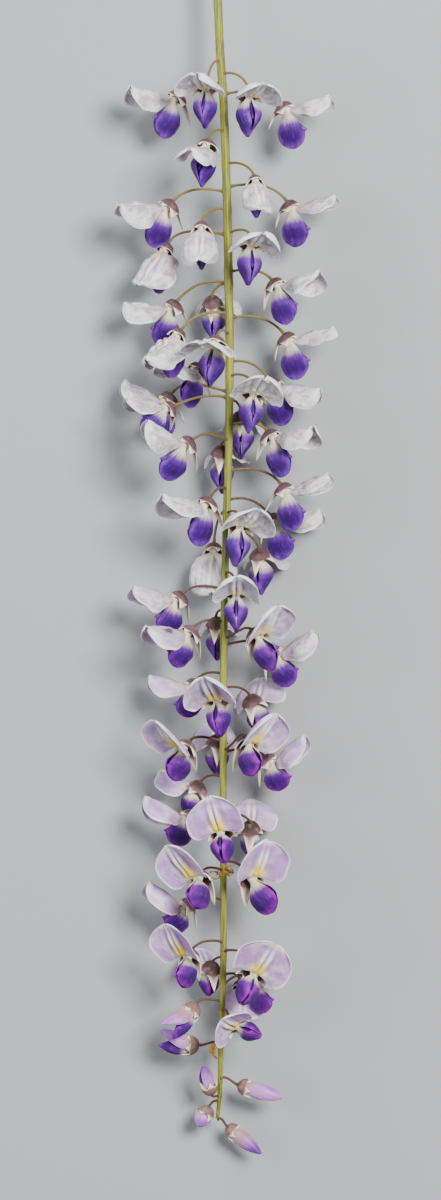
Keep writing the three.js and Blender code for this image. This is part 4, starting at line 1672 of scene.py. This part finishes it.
@dataclass
class OpenFlower:
    """The petals of one open flower: banner, two wings and a keel.

    Attributes:
        number: its place down the raceme.
        row: its calyx's layout row.
        stand: where it stands.
        opening: the angle of the banner over the calyx's direction, in radians.
        fold: how far the banner's sides fold over the wings, in radians.
        size: of the flower.
        droop_gain: how much more than that the rim of the banner turns.
        droop_power: from 1, an even fold, up to one that is all at the rim.
        curl: how far the banner's tip bends towards the wings.
        banner_turn: how much further the banner opens, in degrees.
        slim: from 0, a banner that is broad from its claw, to 1, one that widens slowly.
        keel_lift: how far the keel's tip turns up between the wings.
        lobe_sweep: how far the banner's sides reach back past its claw, as a share of its half width.
        swing: how far the wings and the keel turn to one side, in degrees.
        wrinkle: how strongly the banner is crumpled, from 1 up.
        banner_start: how far ahead of the calyx's base the banner starts.
        banner_root: how far up it starts.
        banner_claw: the length of its claw.
        banner_tilt: of its claw over the calyx's direction, in degrees.
        banner_length: from its claw to its tip.
        banner_half: half its width.
        wing_start: how far ahead of the calyx's base the wings and the keel start.
        wing_drop: their angle under the calyx's direction, in degrees.
        wing_length: of a wing.
        wing_half: half a wing's width.
        wing_bulge: how far a wing swells to its side.
        young_rows: the layout rows between which flowers turn from old to young.
        young_spread: how many rows apart the ages of two neighbours may be.
        groove: how deep the groove along the banner's middle is.
        ridge: how high the ridges beside it are.
        valley: how deep the valleys beside those are.
        callus: how high the two calluses over the claw are.
        rim_wave: how high the banner's rim waves, in an old flower and in a young one.
        creases: how high the creases all over the banner are, in the same two.
        pleat: how deep a wing's pleats are.
        wing_wave: how far a wing's edges wave.
        keel_length: of the keel, in an old flower and in a young one.
        keel_half: half the keel's width, at its claw and further on.
        keel_depth: half its depth, at the same two.
        throat: half the width and half the depth of the claws in the calyx.
        thickness: of a petal in its middle.
        banner_thinning: how much thinner the banner is at its rim.
        wing_thinning: how much thinner a wing is at its rim.
    """

    number: int
    row: float
    stand: Stand
    opening: float
    fold: float
    size: float
    droop_gain: float = 1.75
    droop_power: float = 2.0
    curl: float = 0.0
    banner_turn: float = 0.0
    slim: float = 0.0
    keel_lift: float = 4.5
    lobe_sweep: float = 0.36
    swing: float = 0.0
    wrinkle: float = 1.0
    banner_start: float = 4.3
    banner_root: float = 1.35
    banner_claw: float = 2.3
    banner_tilt: float = 20.0
    banner_length: float = 13.6
    banner_half: float = 10.4
    wing_start: float = 3.4
    wing_drop: float = 25.0
    wing_length: float = 12.4
    wing_half: float = 4.8
    wing_bulge: float = 3.9
    young_rows: tuple[float, float] = (480, 800)
    young_spread: float = 60.0
    groove: float = 0.9
    ridge: float = 0.8
    valley: float = 0.8
    callus: float = 0.6
    rim_wave: tuple[float, float] = (0.95, 0.5)
    creases: tuple[float, float] = (0.4, 0.12)
    pleat: float = 0.16
    wing_wave: float = 0.5
    keel_length: tuple[float, float] = (9.6, 8.6)
    keel_half: tuple[float, float] = (0.4, 0.8)
    keel_depth: tuple[float, float] = (0.9, 2.1)
    throat: tuple[float, float] = (1.55, 1.95)
    thickness: float = 0.34
    banner_thinning: float = 0.2
    wing_thinning: float = 0.16

    @property
    def name(self) -> str:
        """The name of its CAD node."""
        return f"flower_{self.number:02d}"

    @property
    def youth(self) -> float:
        """From 0, an old flower near the cut end, to 1, a young one near the tip."""
        ahead = self.young_spread * (chance(self.number, Draw.AGE) - 0.5)
        return float(smooth(self.row + ahead, *self.young_rows))

    @property
    def gape(self) -> float:
        """How far the wings part over the keel."""
        return 0.1 + 0.8 * chance(self.number, Draw.WING_GAP) ** 1.5

    def at(self, x: Points, y: Points, z: Points) -> Points:
        """Points of the flower in the layout."""
        return self.stand.placed(self.size, x, y, z)

    def swung(self, x: Points, y: Points, z: Points) -> Points:
        """Points of the wings or the keel in the layout, turned to one side.

        Args:
            x: how far ahead.
            y: how far to the side.
            z: how far up.

        Returns:
            The points.
        """
        turn = math.radians(self.swing)
        along = x - self.wing_start
        ahead = self.wing_start + along * math.cos(turn) - y * math.sin(turn)
        return self.at(ahead, along * math.sin(turn) + y * math.cos(turn), z)

    def drooped(self, t: Points, b: Points) -> tuple[Points, Points]:
        """Folds the banner's sides.

        Args:
            t: from the claw to the tip.
            b: from one edge to the other.

        Returns:
            How far the sides stand out, and over the wings, as shares of half the banner's width.
        """
        lean = 1 + 0.5 * (chance(self.number, Draw.FOLD_LEAN) - 0.5) * np.sign(b)
        droop = 0.02 + self.fold * self.droop_gain * lean * smooth(t, 0.05, 0.4)
        step = (np.arange(12) + 0.5) / 12
        turn = droop[..., None] * (np.abs(b)[..., None] * step) ** self.droop_power
        return np.abs(b) * np.cos(turn).mean(axis=-1), np.abs(b) * np.sin(turn).mean(axis=-1)

    def banner_line(self, t: Points) -> tuple[Points, Points]:
        """The banner's middle line, ahead and up.

        Args:
            t: from the claw to the tip.

        Returns:
            Its points and its directions.
        """
        tilt = math.radians(self.banner_tilt)
        opening = self.opening + math.radians(self.banner_turn)
        start = np.array([self.banner_start, self.banner_root])
        elbow = start + self.banner_claw * np.array([math.cos(tilt), math.sin(tilt)])
        tip = elbow + (self.banner_length + 0.7) * np.array([math.cos(opening), math.sin(opening)])
        t1 = t[..., None]
        points = (1 - t1) ** 2 * start + 2 * t1 * (1 - t1) * elbow + t1**2 * tip
        return points, unit(2 * (1 - t1) * (elbow - start) + 2 * t1 * (tip - elbow))

    def banner_width(self, t: Points, b: Points) -> Points:
        """Half the banner's width.

        Args:
            t: from the claw to the tip.
            b: from one edge to the other.

        Returns:
            The half width at each place.
        """
        q = t * t
        lower = np.maximum(0, 1 - (np.maximum(0, 0.54 - q) / 0.55) ** 2.3) ** (1 / 2.1)
        lower = mix(lower, mix(0.12, 1.0, smooth(q, 0.0, 0.56)), self.slim)
        upper = np.maximum(0, 1 - (np.maximum(0, q - 0.54) / 0.5001) ** mix(2.8, 2.1, self.slim)) ** (1 / 2.2)
        widest = mix(self.banner_half + 0.9, self.banner_half, self.youth)
        half = mix(1.25, widest, lower * upper * smooth(q, -0.01, 0.1))
        uneven = 0.07 * self.wrinkle * self.ripple(t, np.sign(b), Draw.BANNER_EDGE)
        return half * (1 + uneven * smooth(t, 0.3, 0.6))

    def banner_place(self, t: Points, b: Points) -> tuple[Points, Points, Points]:
        """The banner's middle surface in the flower's own directions.

        Args:
            t: from the claw to the tip.
            b: from one edge to the other.

        Returns:
            How far ahead, to the side and up.
        """
        centre, ahead = self.banner_line(t)
        half = self.banner_width(t, b)
        out, inward = self.drooped(t, b)
        sweep = half * b * b * (self.lobe_sweep - 0.14 * (t * t)) * smooth(t, 0, 0.3)
        notch = 0.6 * bell(b, 0, 0.1) * smooth(t, 0.88, 1.0)
        sweep = sweep + notch + 0.4 * self.ripple(t, b, Draw.BANNER_TIP) * smooth(t, 0.7, 1)
        rise = self.banner_relief(t, b) + half * inward
        x = centre[..., 0] - ahead[..., 0] * sweep + ahead[..., 1] * rise
        z = centre[..., 1] - ahead[..., 1] * sweep - ahead[..., 0] * rise
        return x, np.sign(b) * half * out, z

    def ripple(self, t: Points, b: Points, purpose: int) -> Points:
        """Irregular waves over a petal.

        Args:
            t: from the claw to the tip.
            b: from one edge to the other.
            purpose: sets these waves apart from the flower's other ones.

        Returns:
            Their height, from about -1 to 1.
        """
        total = np.zeros(np.broadcast(t, b).shape)
        for k in range(5):
            turn = math.tau * chance(self.number, purpose + k)
            start = math.tau * chance(self.number, purpose + 10 + k)
            wave = (3.0 + 2.1 * k) * (2 * t * math.cos(turn) + b * math.sin(turn)) + start
            total += np.sin(wave) / (1 + 0.5 * k)
        return total / 2.2

    def banner_relief(self, t: Points, b: Points) -> Points:
        """How far the banner stands forward: a groove between two ridges, two calluses and a wavy rim.

        Args:
            t: from the claw to the tip.
            b: from one edge to the other.

        Returns:
            The height at each place.
        """
        off = np.abs(b)
        onset = smooth(t, 0.2, 0.4)
        groove = -self.groove * bell(b, 0, 0.045) * onset * (1 - 0.5 * smooth(t, 0.6, 1))
        ridge = self.ridge * bell(off, 0.11, 0.06) * onset * (1 - 0.8 * smooth(t, 0.7, 1))
        valley = -self.valley * bell(off, 0.27, 0.09) * onset * (1 - smooth(t, 0.7, 1))
        callus = self.callus * bell(off, 0.2, 0.12) * bell(t, 0.36, 0.06)
        edge = smooth(off, 0.35, 1.0) * smooth(t, 0.25, 0.6) + 0.6 * smooth(t, 0.7, 1)
        wave = mix(*self.rim_wave, self.youth) * self.ripple(t, b, Draw.RIM_WAVE) * edge
        crumple = self.ripple(2.3 * t, 2.3 * b, Draw.CREASES)
        crumple = self.wrinkle * mix(*self.creases, self.youth) * crumple
        curl = self.curl * smooth(t, 0.55, 1.05) ** 2 + 0.5 * self.curl * smooth(off, 0.6, 1.0)
        return groove + ridge + valley + callus + wave + crumple * smooth(t, 0.25, 0.5) + curl

    def petal(
        self, points: Points, t: Points, b: Points, thinning: tuple[float, float], kind: Petal
    ) -> Surface:
        """A petal about its middle surface.

        Args:
            points: the middle surface, in the layout.
            t: from the claw to the tip.
            b: from one edge to the other.
            thinning: how much thinner it is at its rim, and where that begins.
            kind: which petal it is.

        Returns:
            The surface.
        """
        less, begin = thinning
        thick = self.thickness - less * smooth(np.maximum(np.abs(b), t), begin, 1.0)
        return sheet(points, t, b, thick * self.size, kind.value)

    def banner(self) -> Surface:
        """The banner petal, its front towards the wings.

        Returns:
            The surface, marked with its bruise if it has one.
        """
        s = np.linspace(0, 1, 30)
        spread = 0.86 * math.pi / 2
        b = np.sin(np.linspace(1, -1, 41) * spread) / math.sin(spread)
        t, b = grid(1.0198 * (1 - (1 - s) ** 1.6), 0.75 * b + 0.25 * b**3)
        made = self.petal(self.at(*self.banner_place(t, b)), t, b, (self.banner_thinning, 0.75), Petal.BANNER)
        if self.number == BRUISED_FLOWER:
            along, off = made.uv[:, 0] - 0.76, np.abs(2 * made.uv[:, 1] - 1) - 0.38
            made.marks["bruise"] = np.minimum(1.0, 1.5 * bell(np.hypot(along * 1.4, off), 0.0, 0.13))
        return made

    def wing(self, side: int) -> Surface:
        """One wing petal.

        Args:
            side: -1 or 1, the side of the flower that it is on.

        Returns:
            The surface.
        """
        s = np.linspace(0, 1, 22)
        t, b = grid(1.04 * (1 - (1 - s) ** 1.5), np.linspace(-1, 1, 17))
        length = mix(self.wing_length + 2.4, self.wing_length - 1.1, self.youth)
        taper = np.maximum(0, 1 - (np.maximum(0, t - 0.56) / 0.4801) ** 2.4) ** (1 / 2.1)
        half = mix(1.5 * (1 - smooth(t, 0.7, 1.03)), self.wing_half, smooth(t, 0.0, 0.56) * taper)
        uneven = 0.07 * self.ripple(1.3 * t, np.sign(b), Draw.WING_EDGE)
        half = half * (1 + uneven * smooth(t, 0.3, 0.6))
        end = mix(0.85, 0.42, self.youth)
        swell = smooth(t, -0.05, 0.42) * np.maximum(0, 1 - smooth(t, 0.45, 1.1)) ** end
        swell = swell * mix(1.0, 0.86, self.youth)
        part = mix(0.4, 0.12, smooth(t, 0.5, 1.0)) + self.gape * bell(t, 0.42, 0.22) * smooth(b, -0.6, 0.8)
        line = np.radians(-self.wing_drop - 6 * t)
        lean = 0.9 * smooth(t, 0.55, 1.0) + 0.8 * bell(t, 0.72, 0.12) * smooth(b, 0.2, 1.0)
        x = self.wing_start + t * length * np.cos(line) - b * half * np.sin(line) * smooth(t, 0, 0.3)
        z = -0.5 + t * length * np.sin(line) + (b * half + lean) * np.cos(line)
        first = math.tau * chance(self.number, Draw.PLEATS)
        pleat = self.pleat * np.sin(9 * b + 3 * side + first) * smooth(t, 0.25, 0.6)
        wave = self.wing_wave * self.ripple(t, b * side, Draw.WING_WAVE)
        wave = wave * smooth(np.abs(b), 0.2, 1) * smooth(t, 0.3, 0.7)
        full = (1 - np.abs(b) ** 2.3) ** 0.9
        y = side * (part + np.maximum(self.wing_bulge * swell * full + wave + pleat * full, -0.1))
        return self.petal(self.swung(x, y, z), t, b, (self.wing_thinning, 0.7), Petal.WING)

    def keel(self) -> Surface:
        """The two keel petals, closed into one boat with its tip turned up.

        Returns:
            The surface.
        """
        t, turn = grid(np.linspace(0, 1, 15), np.linspace(0, math.tau, 12, endpoint=False))
        line = math.radians(-self.wing_drop)
        reach = mix(*self.keel_length, self.youth)
        wide = mix(*self.keel_half, smooth(t, 0, 0.5)) * (1 - smooth(t, 0.8, 1.05))
        deep = mix(*self.keel_depth, smooth(t, 0, 0.5)) * np.maximum(0.02, 1 - smooth(t, 0.6, 1.09)) ** 0.5
        lift = self.keel_lift * t**3
        x = self.wing_start + t * reach * math.cos(line) - lift * math.sin(line)
        z = -0.4 + t * reach * math.sin(line) + lift * math.cos(line) + deep * np.cos(turn)
        return loft(self.swung(x, (wide + 0.05) * np.sin(turn), z), t[:, 0], Petal.KEEL.value)

    def claws(self) -> Surface:
        """The claws where they stand together in the calyx.

        Returns:
            The surface.
        """
        t, turn = grid(np.linspace(0, 1, 6), np.linspace(0, math.tau, 16, endpoint=False))
        swell = np.sin(math.pi * mix(0.25, 0.8, t))
        wide, deep = self.throat
        x = mix(1.2, self.banner_start + 1.0, t)
        z = 0.25 + deep * swell * np.cos(turn)
        return loft(self.at(x, wide * swell * np.sin(turn), z), 0.15 * t[:, 0], Petal.WING.value)

    def make(self, maker: Maker, finishes: list[bpy.types.Material]) -> None:
        """Makes the petals as one piece, in the place of the flower's CAD node.

        Args:
            maker: makes the piece.
            finishes: of the banner, the wings and the keel.
        """
        petals = [self.banner(), self.wing(-1), self.wing(1), self.keel(), self.claws()]
        whole = Surface.joined(petals).marked(youth=self.youth, tone=10 * chance(self.number, Draw.TONE))
        maker.hand_in(maker.piece(self.name + "_petals", whole, finishes), "petal", self.name)


class Fold(Enum):
    """The finishes of a bud's faces, in the order of its materials."""

    HOOD = 0
    CORE = 1


@dataclass
class Bud:
    """A closed or half-open flower: a folded banner round a deeper core.

    Attributes:
        number: its place down the raceme.
        stand: where it stands.
        length: from the base to the tip.
        stand_off: how far the banner stands off, in degrees.
        girth: of the bud.
        core_half: half the core's width and half its depth, at a girth of 1.
        hood_half: the same of the banner.
        wrap: how far each side of the closed banner folds round the core, in degrees.
        thickness: of the banner.
        full_end: the bluntness of a bud with a full round end; 1 is an even spindle.
    """

    number: int
    stand: Stand
    length: float
    stand_off: float
    girth: float
    core_half: tuple[float, float] = (1.45, 2.1)
    hood_half: tuple[float, float] = (2.15, 2.75)
    wrap: float = 148.0
    thickness: float = 0.3
    full_end: float = 1.5

    def core(self) -> Surface:
        """The wings and keel, folded together.

        Returns:
            The surface.
        """
        t, turn = grid(np.linspace(0, 1, 16), np.linspace(0, math.tau, 20, endpoint=False))
        body = np.sin(math.pi * np.clip(mix(0.14, 0.98, t), 0, 1)) ** 0.8
        wide, deep = (self.girth * half * body for half in self.core_half)
        x = mix(2.0, self.length * 0.97, t)
        z = -0.4 - 0.6 * np.sin(math.pi * t) + deep * np.cos(turn)
        return loft(self.stand.placed(1.0, x, wide * np.sin(turn), z), t[:, 0], Fold.CORE.value)

    def hood(self) -> Surface:
        """The banner, folded along its middle over the core.

        Returns:
            The surface.
        """
        s = np.linspace(0, 1, 22)
        t, b = grid(1 - (1 - s) ** 1.4, np.linspace(-1, 1, 23))
        bluntness = self.full_end if self.number in BLUNT_BUDS else 1.0
        body = np.maximum(np.sin(math.pi * np.clip(mix(0.2, 1.0, t**bluntness), 0, 1)), 0.02) ** 0.75
        turn = b * math.radians(self.wrap - 1.6 * self.stand_off) * mix(0.8, 1.0, smooth(t, 0, 0.4))
        flare = 1 + 0.02 * self.stand_off * np.abs(b) * smooth(t, 0.2, 0.8)
        wide, deep = (self.girth * half * body for half in self.hood_half)
        tilt = math.radians(self.stand_off) * t
        reach = mix(1.8, self.length, t)
        x = reach * np.cos(tilt) - 0.7 * np.abs(b) * t
        z = reach * np.sin(tilt) + deep * np.cos(turn) - 0.3 + 0.35 * bell(b, 0, 0.12)
        points = self.stand.placed(1.0, x, wide * flare * np.sin(turn), z)
        return sheet(points, t, b, self.thickness, Fold.HOOD.value)

    def make(self, maker: Maker, finishes: list[bpy.types.Material]) -> None:
        """Makes the bud's petals as one piece.

        Args:
            maker: makes the piece.
            finishes: of the hood and the core.
        """
        depth, tan = BUD_TONES[self.number]
        whole = Surface.joined([self.core(), self.hood()])
        whole.marked(youth=1.0, tone=10 * chance(self.number, Draw.TONE), depth=depth, tan=tan)
        maker.hand_in(maker.piece(f"bud_{self.number:02d}", whole, finishes), "petal")


@dataclass
class Bract:
    """A withered, folded bract beside the main stalk.

    Attributes:
        row: its layout row.
        facing: which side of the main stalk it is on, in degrees from straight up.
        length: along the main stalk.
        half_width: half its width, unfolded.
        fold: how far its sides fold outward.
        bow: how far it bows away from the main stalk.
        root: how far from the main stalk's middle it starts.
        thickness: of the bract.
    """

    row: float = 1041
    facing: float = -58
    length: float = 7.2
    half_width: float = 2.0
    fold: float = 1.7
    bow: float = 2.2
    root: float = 0.6
    thickness: float = 0.3

    def make(self, maker: Maker) -> None:
        """Makes the bract.

        Args:
            maker: makes the piece.
        """
        t, b = grid(np.linspace(0, 1, 14), np.linspace(-1, 1, 11))
        half = self.half_width * np.sin(math.pi * np.clip(mix(0.1, 0.97, t), 0, 1))
        out = self.root + self.bow * np.sin(math.pi * t * 0.8) + self.fold * np.abs(b) * np.sin(math.pi * t)
        middle = MainLine.beside(self.row, self.facing, out, self.length * t, b * half)
        bract = sheet(middle, t, b, self.thickness)
        maker.hand_in(maker.piece("bract", bract, [WitheredFinish().material()]), "stalk")


@dataclass
class DriedStrands:
    """The curled strands that a fallen flower left.

    Attributes:
        row: their layout row.
        count: how many there are.
        first: the side of the main stalk where they begin, in degrees from straight up.
        span: how far round the main stalk they go, in degrees.
        reach: the length of the shortest, and how much longer one may be.
        radius: of a strand at its root.
        thinning: how much less its radius is at its end.
        sides: how many faces a strand has round it.
        stations: how many points its line has.
    """

    row: float = 873
    count: int = 11
    first: float = -100
    span: float = 300
    reach: tuple[float, float] = (3.2, 2.6)
    radius: float = 0.44
    thinning: float = 0.24
    sides: int = 6
    stations: int = 14

    def make(self, maker: Maker) -> None:
        """Makes the strands as one piece.

        Args:
            maker: makes the piece.
        """
        paths, radii = [], []
        s = np.linspace(0, 1, self.stations)
        shortest, more = self.reach
        for k in range(self.count):
            curl, long = chance(k, Draw.STRAND_CURL) - 0.5, shortest + more * chance(k, Draw.STRAND_LENGTH)
            out = long * np.sin(1.9 * s) * 0.9
            fall = 9 * (chance(k, Draw.STRAND_FALL) - 0.5) * s**1.3
            down = fall - 1.6 * curl + 0.7 * np.sin(7 * s + 2 * k)
            past = 5 * curl * s**1.5 + 0.8 * np.sin(6 * s + k)
            paths.append(MainLine.beside(self.row, self.first + self.span * k / self.count, out, down, past))
            radii.append((self.radius - self.thinning * s) * MM)
        line = maker.lines("dried_strands", paths, {"radius": radii})
        finish = WitheredFinish().material()
        made = maker.grown(line, TUBES, Sides=self.sides, Ribs=0.0, Rib_depth=0.0, Finish=finish)
        maker.hand_in(made, "stalk")


# ---- The whole raceme ----


@dataclass(frozen=True)
class Growth:
    """Where a flower or a bud grows: its number down the raceme, and what both tables begin with."""

    number: int
    root: float
    column: float
    row: float
    over: float
    facing: float

    def stand(self, rise: float, roll: float = 0.0) -> Stand:
        """Where it stands, at a rise and a roll in degrees."""
        height = MainLine.at(self.root)[0][2] + self.over
        return Stand.facing(Layout.place(self.column, self.row, height), self.facing, rise, roll)


@dataclass(frozen=True)
class FlowerGrowth(Growth):
    """How an open flower grows, as its row of the table says."""

    banner_rise: float
    wing_rise: float
    fold: float
    size: float
    roll: float

    @property
    def hooded(self) -> bool:
        """Whether its old banner hangs over it like a hood."""
        return self.banner_rise < HOODED_RISE

    @property
    def redness(self) -> float:
        """Of its stalk, from green at the cut end to red-brown at the tip."""
        own = 0.3 * (chance(self.number, Draw.REDNESS) - 0.5)
        return 0.15 + 0.8 * float(smooth(self.row, *REDDENING_ROWS)) + own

    def flower(self) -> OpenFlower:
        """The flower, with the form that its age and its turn give it.

        Returns:
            The flower, where the table places it.
        """
        rise = self.wing_rise + OpenFlower.wing_drop
        opening = math.radians(self.banner_rise - rise)
        made = OpenFlower(self.number, self.row, self.stand(rise, self.roll), opening, self.fold, self.size)
        turn, youth = abs(self.facing), made.youth
        if self.banner_rise > 0 and turn < SIDE_TURN:
            made.banner_turn, made.droop_power = mix(-7.0, 0.0, youth), mix(2.6, 2.0, youth)
        elif turn <= LEVEL_TURN:
            made.droop_power, made.lobe_sweep = 1.5, mix(0.22, 0.34, youth)
        if SIDE_TURN <= turn <= LEVEL_TURN:
            made.slim, made.curl, made.keel_lift = mix(1.0, 0.4, youth), 1.6, 5.5
        if self.hooded:
            made.wrinkle = 2.0
        for key, value in FORMS.get(self.number, {}).items():
            setattr(made, key, value)
        return made

    def calyx(self, flower: OpenFlower) -> Calyx:
        """The calyx: nearly even on a hooded flower, and with thin teeth on one that looks away."""
        gape, sharpness = 0.15 if self.hooded else 1.0, 2.8 if abs(self.facing) > BACK_TURN else 1.9
        return Calyx(flower.stand, self.size, self.number, gape, youth=flower.youth, sharpness=sharpness)


@dataclass(frozen=True)
class BudGrowth(Growth):
    """How a half-open flower or a bud grows, as its row of the table says."""

    rise: float
    length: float
    stand_off: float
    girth: float

    def bud(self) -> Bud:
        """The bud, where the table places it."""
        return Bud(self.number, self.stand(self.rise), self.length, self.stand_off, self.girth)

    def calyx(self, bud: Bud) -> Calyx:
        """The calyx of its bud, an even cup with short teeth."""
        return Calyx(bud.stand, 1.02 * self.girth**0.5, self.number, 0.12, kind=Cup.BUD, teeth=BUD_TEETH)


@dataclass
class Raceme:
    """The whole raceme, built over the frame.

    Attributes:
        maker: makes its pieces.
        flowers: the open flowers.
        buds: the buds and half-open flowers.
        pedicels: every flower's stalk.
        calyces: every flower's calyx.
    """

    maker: Maker
    flowers: list[OpenFlower] = field(default_factory=list)
    buds: list[Bud] = field(default_factory=list)
    pedicels: list[Pedicel] = field(default_factory=list)
    calyces: list[Calyx] = field(default_factory=list)

    def plan(self) -> None:
        """Sets out every flower and bud; an open flower stands where its CAD node stands."""
        for number, row in enumerate(OPEN_FLOWERS, 1):
            growth = FlowerGrowth(number, *row)
            flower = growth.flower()
            flower.stand.base[2] += self.lift(flower)
            self.flowers.append(flower)
            self.calyces.append(growth.calyx(flower))
            self.pedicels.append(Pedicel(growth.root, flower.stand, growth.redness))
        for number, row in enumerate(BUDS, len(OPEN_FLOWERS) + 1):
            growth = BudGrowth(number, *row)
            bud = growth.bud()
            self.buds.append(bud)
            self.calyces.append(growth.calyx(bud))
            self.pedicels.append(Pedicel(growth.root, bud.stand, BUD_REDNESS))

    def lift(self, flower: OpenFlower) -> float:
        """How far a flower's CAD node stands above its place in the table, where the surface bears it.

        Args:
            flower: the flower, where the table places it.

        Returns:
            The height.
        """
        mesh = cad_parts[flower.name].data
        known = np.array([v.co for v in mesh.vertices]) / MM - self.maker.layout.shift
        corner = flower.at(*(np.array(part) for part in HEART_CORNER))
        near = np.hypot(*(known - corner)[:, :2].T) < HEART_NEAR
        rises = (known - corner)[near, 2]
        return float(rises[np.argmin(np.abs(rises))]) if near.any() else 0.0

    def make(self) -> None:
        """Makes every piece, from the main stalk to the dried strands."""
        MainStalk().make(self.maker, [p.root_row for p in self.pedicels])
        Pedicels(self.pedicels).make(self.maker)
        Calyces(self.calyces).make(self.maker)
        petals = [BannerFinish().material(), WingFinish().material(), KeelFinish().material()]
        for flower in self.flowers:
            flower.make(self.maker, petals)
        folded = [BudFinish().material(), WingFinish().material()]
        for bud in self.buds:
            bud.make(self.maker, folded)
        Bract().make(self.maker)
        DriedStrands().make(self.maker)


# ---- Stage ----


@dataclass(frozen=True)
class Lamp:
    """A square soft lamp that looks at the raceme.

    Attributes:
        name: of the lamp.
        place: in metres.
        size: of its side, in metres.
        power: in watts.
        tint: its colour.
    """

    name: str
    place: tuple[float, float, float]
    size: float
    power: float
    tint: Colour

    def make(self) -> None:
        """Hangs the lamp in the scene."""
        data = bpy.data.lights.new(self.name, "AREA")
        data.shape = "SQUARE"
        data.size = self.size
        data.energy = self.power
        data.color = self.tint
        made = linked(self.name, data)
        made.location = self.place
        made.rotation_euler = (-Vector(self.place)).to_track_quat("-Z", "Y").to_euler()


@dataclass(frozen=True)
class Stage:
    """A pale floor, soft studio light, and a camera that looks straight down.

    Attributes:
        layout: where the raceme lies.
        distance: of the camera above the main stalk, in metres.
        stalk_height: of the main stalk above the floor, in metres.
        floor_half: half the floor's side, in metres.
        floor_colour: of the floor.
        floor_roughness: of the floor.
        half_sensor: half the height of the camera's sensor, in millimetres.
        near: how close the camera sees, in metres.
        surround: the colour of the light from all round.
        surround_strength: of that light.
        lamps: a key, a fill and a rim lamp.
    """

    layout: Layout
    distance: float = 2.0
    stalk_height: float = 0.025
    floor_half: float = 6.0
    floor_colour: Colour = (0.33, 0.34, 0.355)
    floor_roughness: float = 0.9
    half_sensor: float = 18.0
    near: float = 0.05
    surround: Colour = (0.9, 0.94, 1.0)
    surround_strength: float = 0.2
    lamps: tuple[Lamp, ...] = (
        Lamp("key", (0.65, 0.45, 1.7), 0.6, 72.0, (1.0, 0.98, 0.95)),
        Lamp("fill", (-1.2, 0.1, 1.2), 1.2, 15.0, (0.93, 0.96, 1.0)),
        Lamp("rim", (-0.9, 1.4, 0.6), 0.5, 16.0, (1.0, 1.0, 1.0)),
    )

    def floor(self) -> None:
        """Lays a wide pale floor."""
        mesh = bpy.data.meshes.new("floor")
        half = self.floor_half
        corners = [(-half, -half, 0), (half, -half, 0), (half, half, 0), (-half, half, 0)]
        mesh.from_pydata(corners, [], [(0, 1, 2, 3)])
        paper = bpy.data.materials.new("floor")
        paper.use_nodes = True
        shader = paper.node_tree.nodes["Principled BSDF"]
        shader.inputs["Base Color"].default_value = (*self.floor_colour, 1)
        shader.inputs["Roughness"].default_value = self.floor_roughness
        mesh.materials.append(paper)
        made = linked("floor", mesh)

    def camera(self) -> None:
        """Hangs the camera above the raceme, its frame as high as the layout."""
        data = bpy.data.cameras.new("camera")
        data.lens = self.half_sensor * self.distance / (VIEW_ROWS / 2 * LAYOUT_STEP * MM)
        data.clip_start = self.near
        made = linked("camera", data)
        middle = self.layout.metres(Layout.place(VIEW_COLUMN, LAYOUT_Y, 0.0))
        made.location = (middle[0], middle[1], self.distance + self.stalk_height)
        bpy.context.scene.camera = made

    def light(self) -> None:
        """Lights the lamps, in an even surround."""
        for lamp in self.lamps:
            lamp.make()
        world = bpy.data.worlds.new("surround")
        world.use_nodes = True
        back = world.node_tree.nodes["Background"]
        back.inputs["Color"].default_value = (*self.surround, 1)
        back.inputs["Strength"].default_value = self.surround_strength
        bpy.context.scene.world = world


TUBES = TubeTree()
DOWN = DownTree()


def main() -> None:
    """Builds the stage and the raceme."""
    logging.basicConfig(level=logging.INFO, format="%(message)s")
    layout = Layout.of_frame()
    stage = Stage(layout)
    stage.camera()
    stage.floor()
    stage.light()
    raceme = Raceme(Maker(layout))
    raceme.plan()
    raceme.make()


if __name__ == "__main__":
    main()
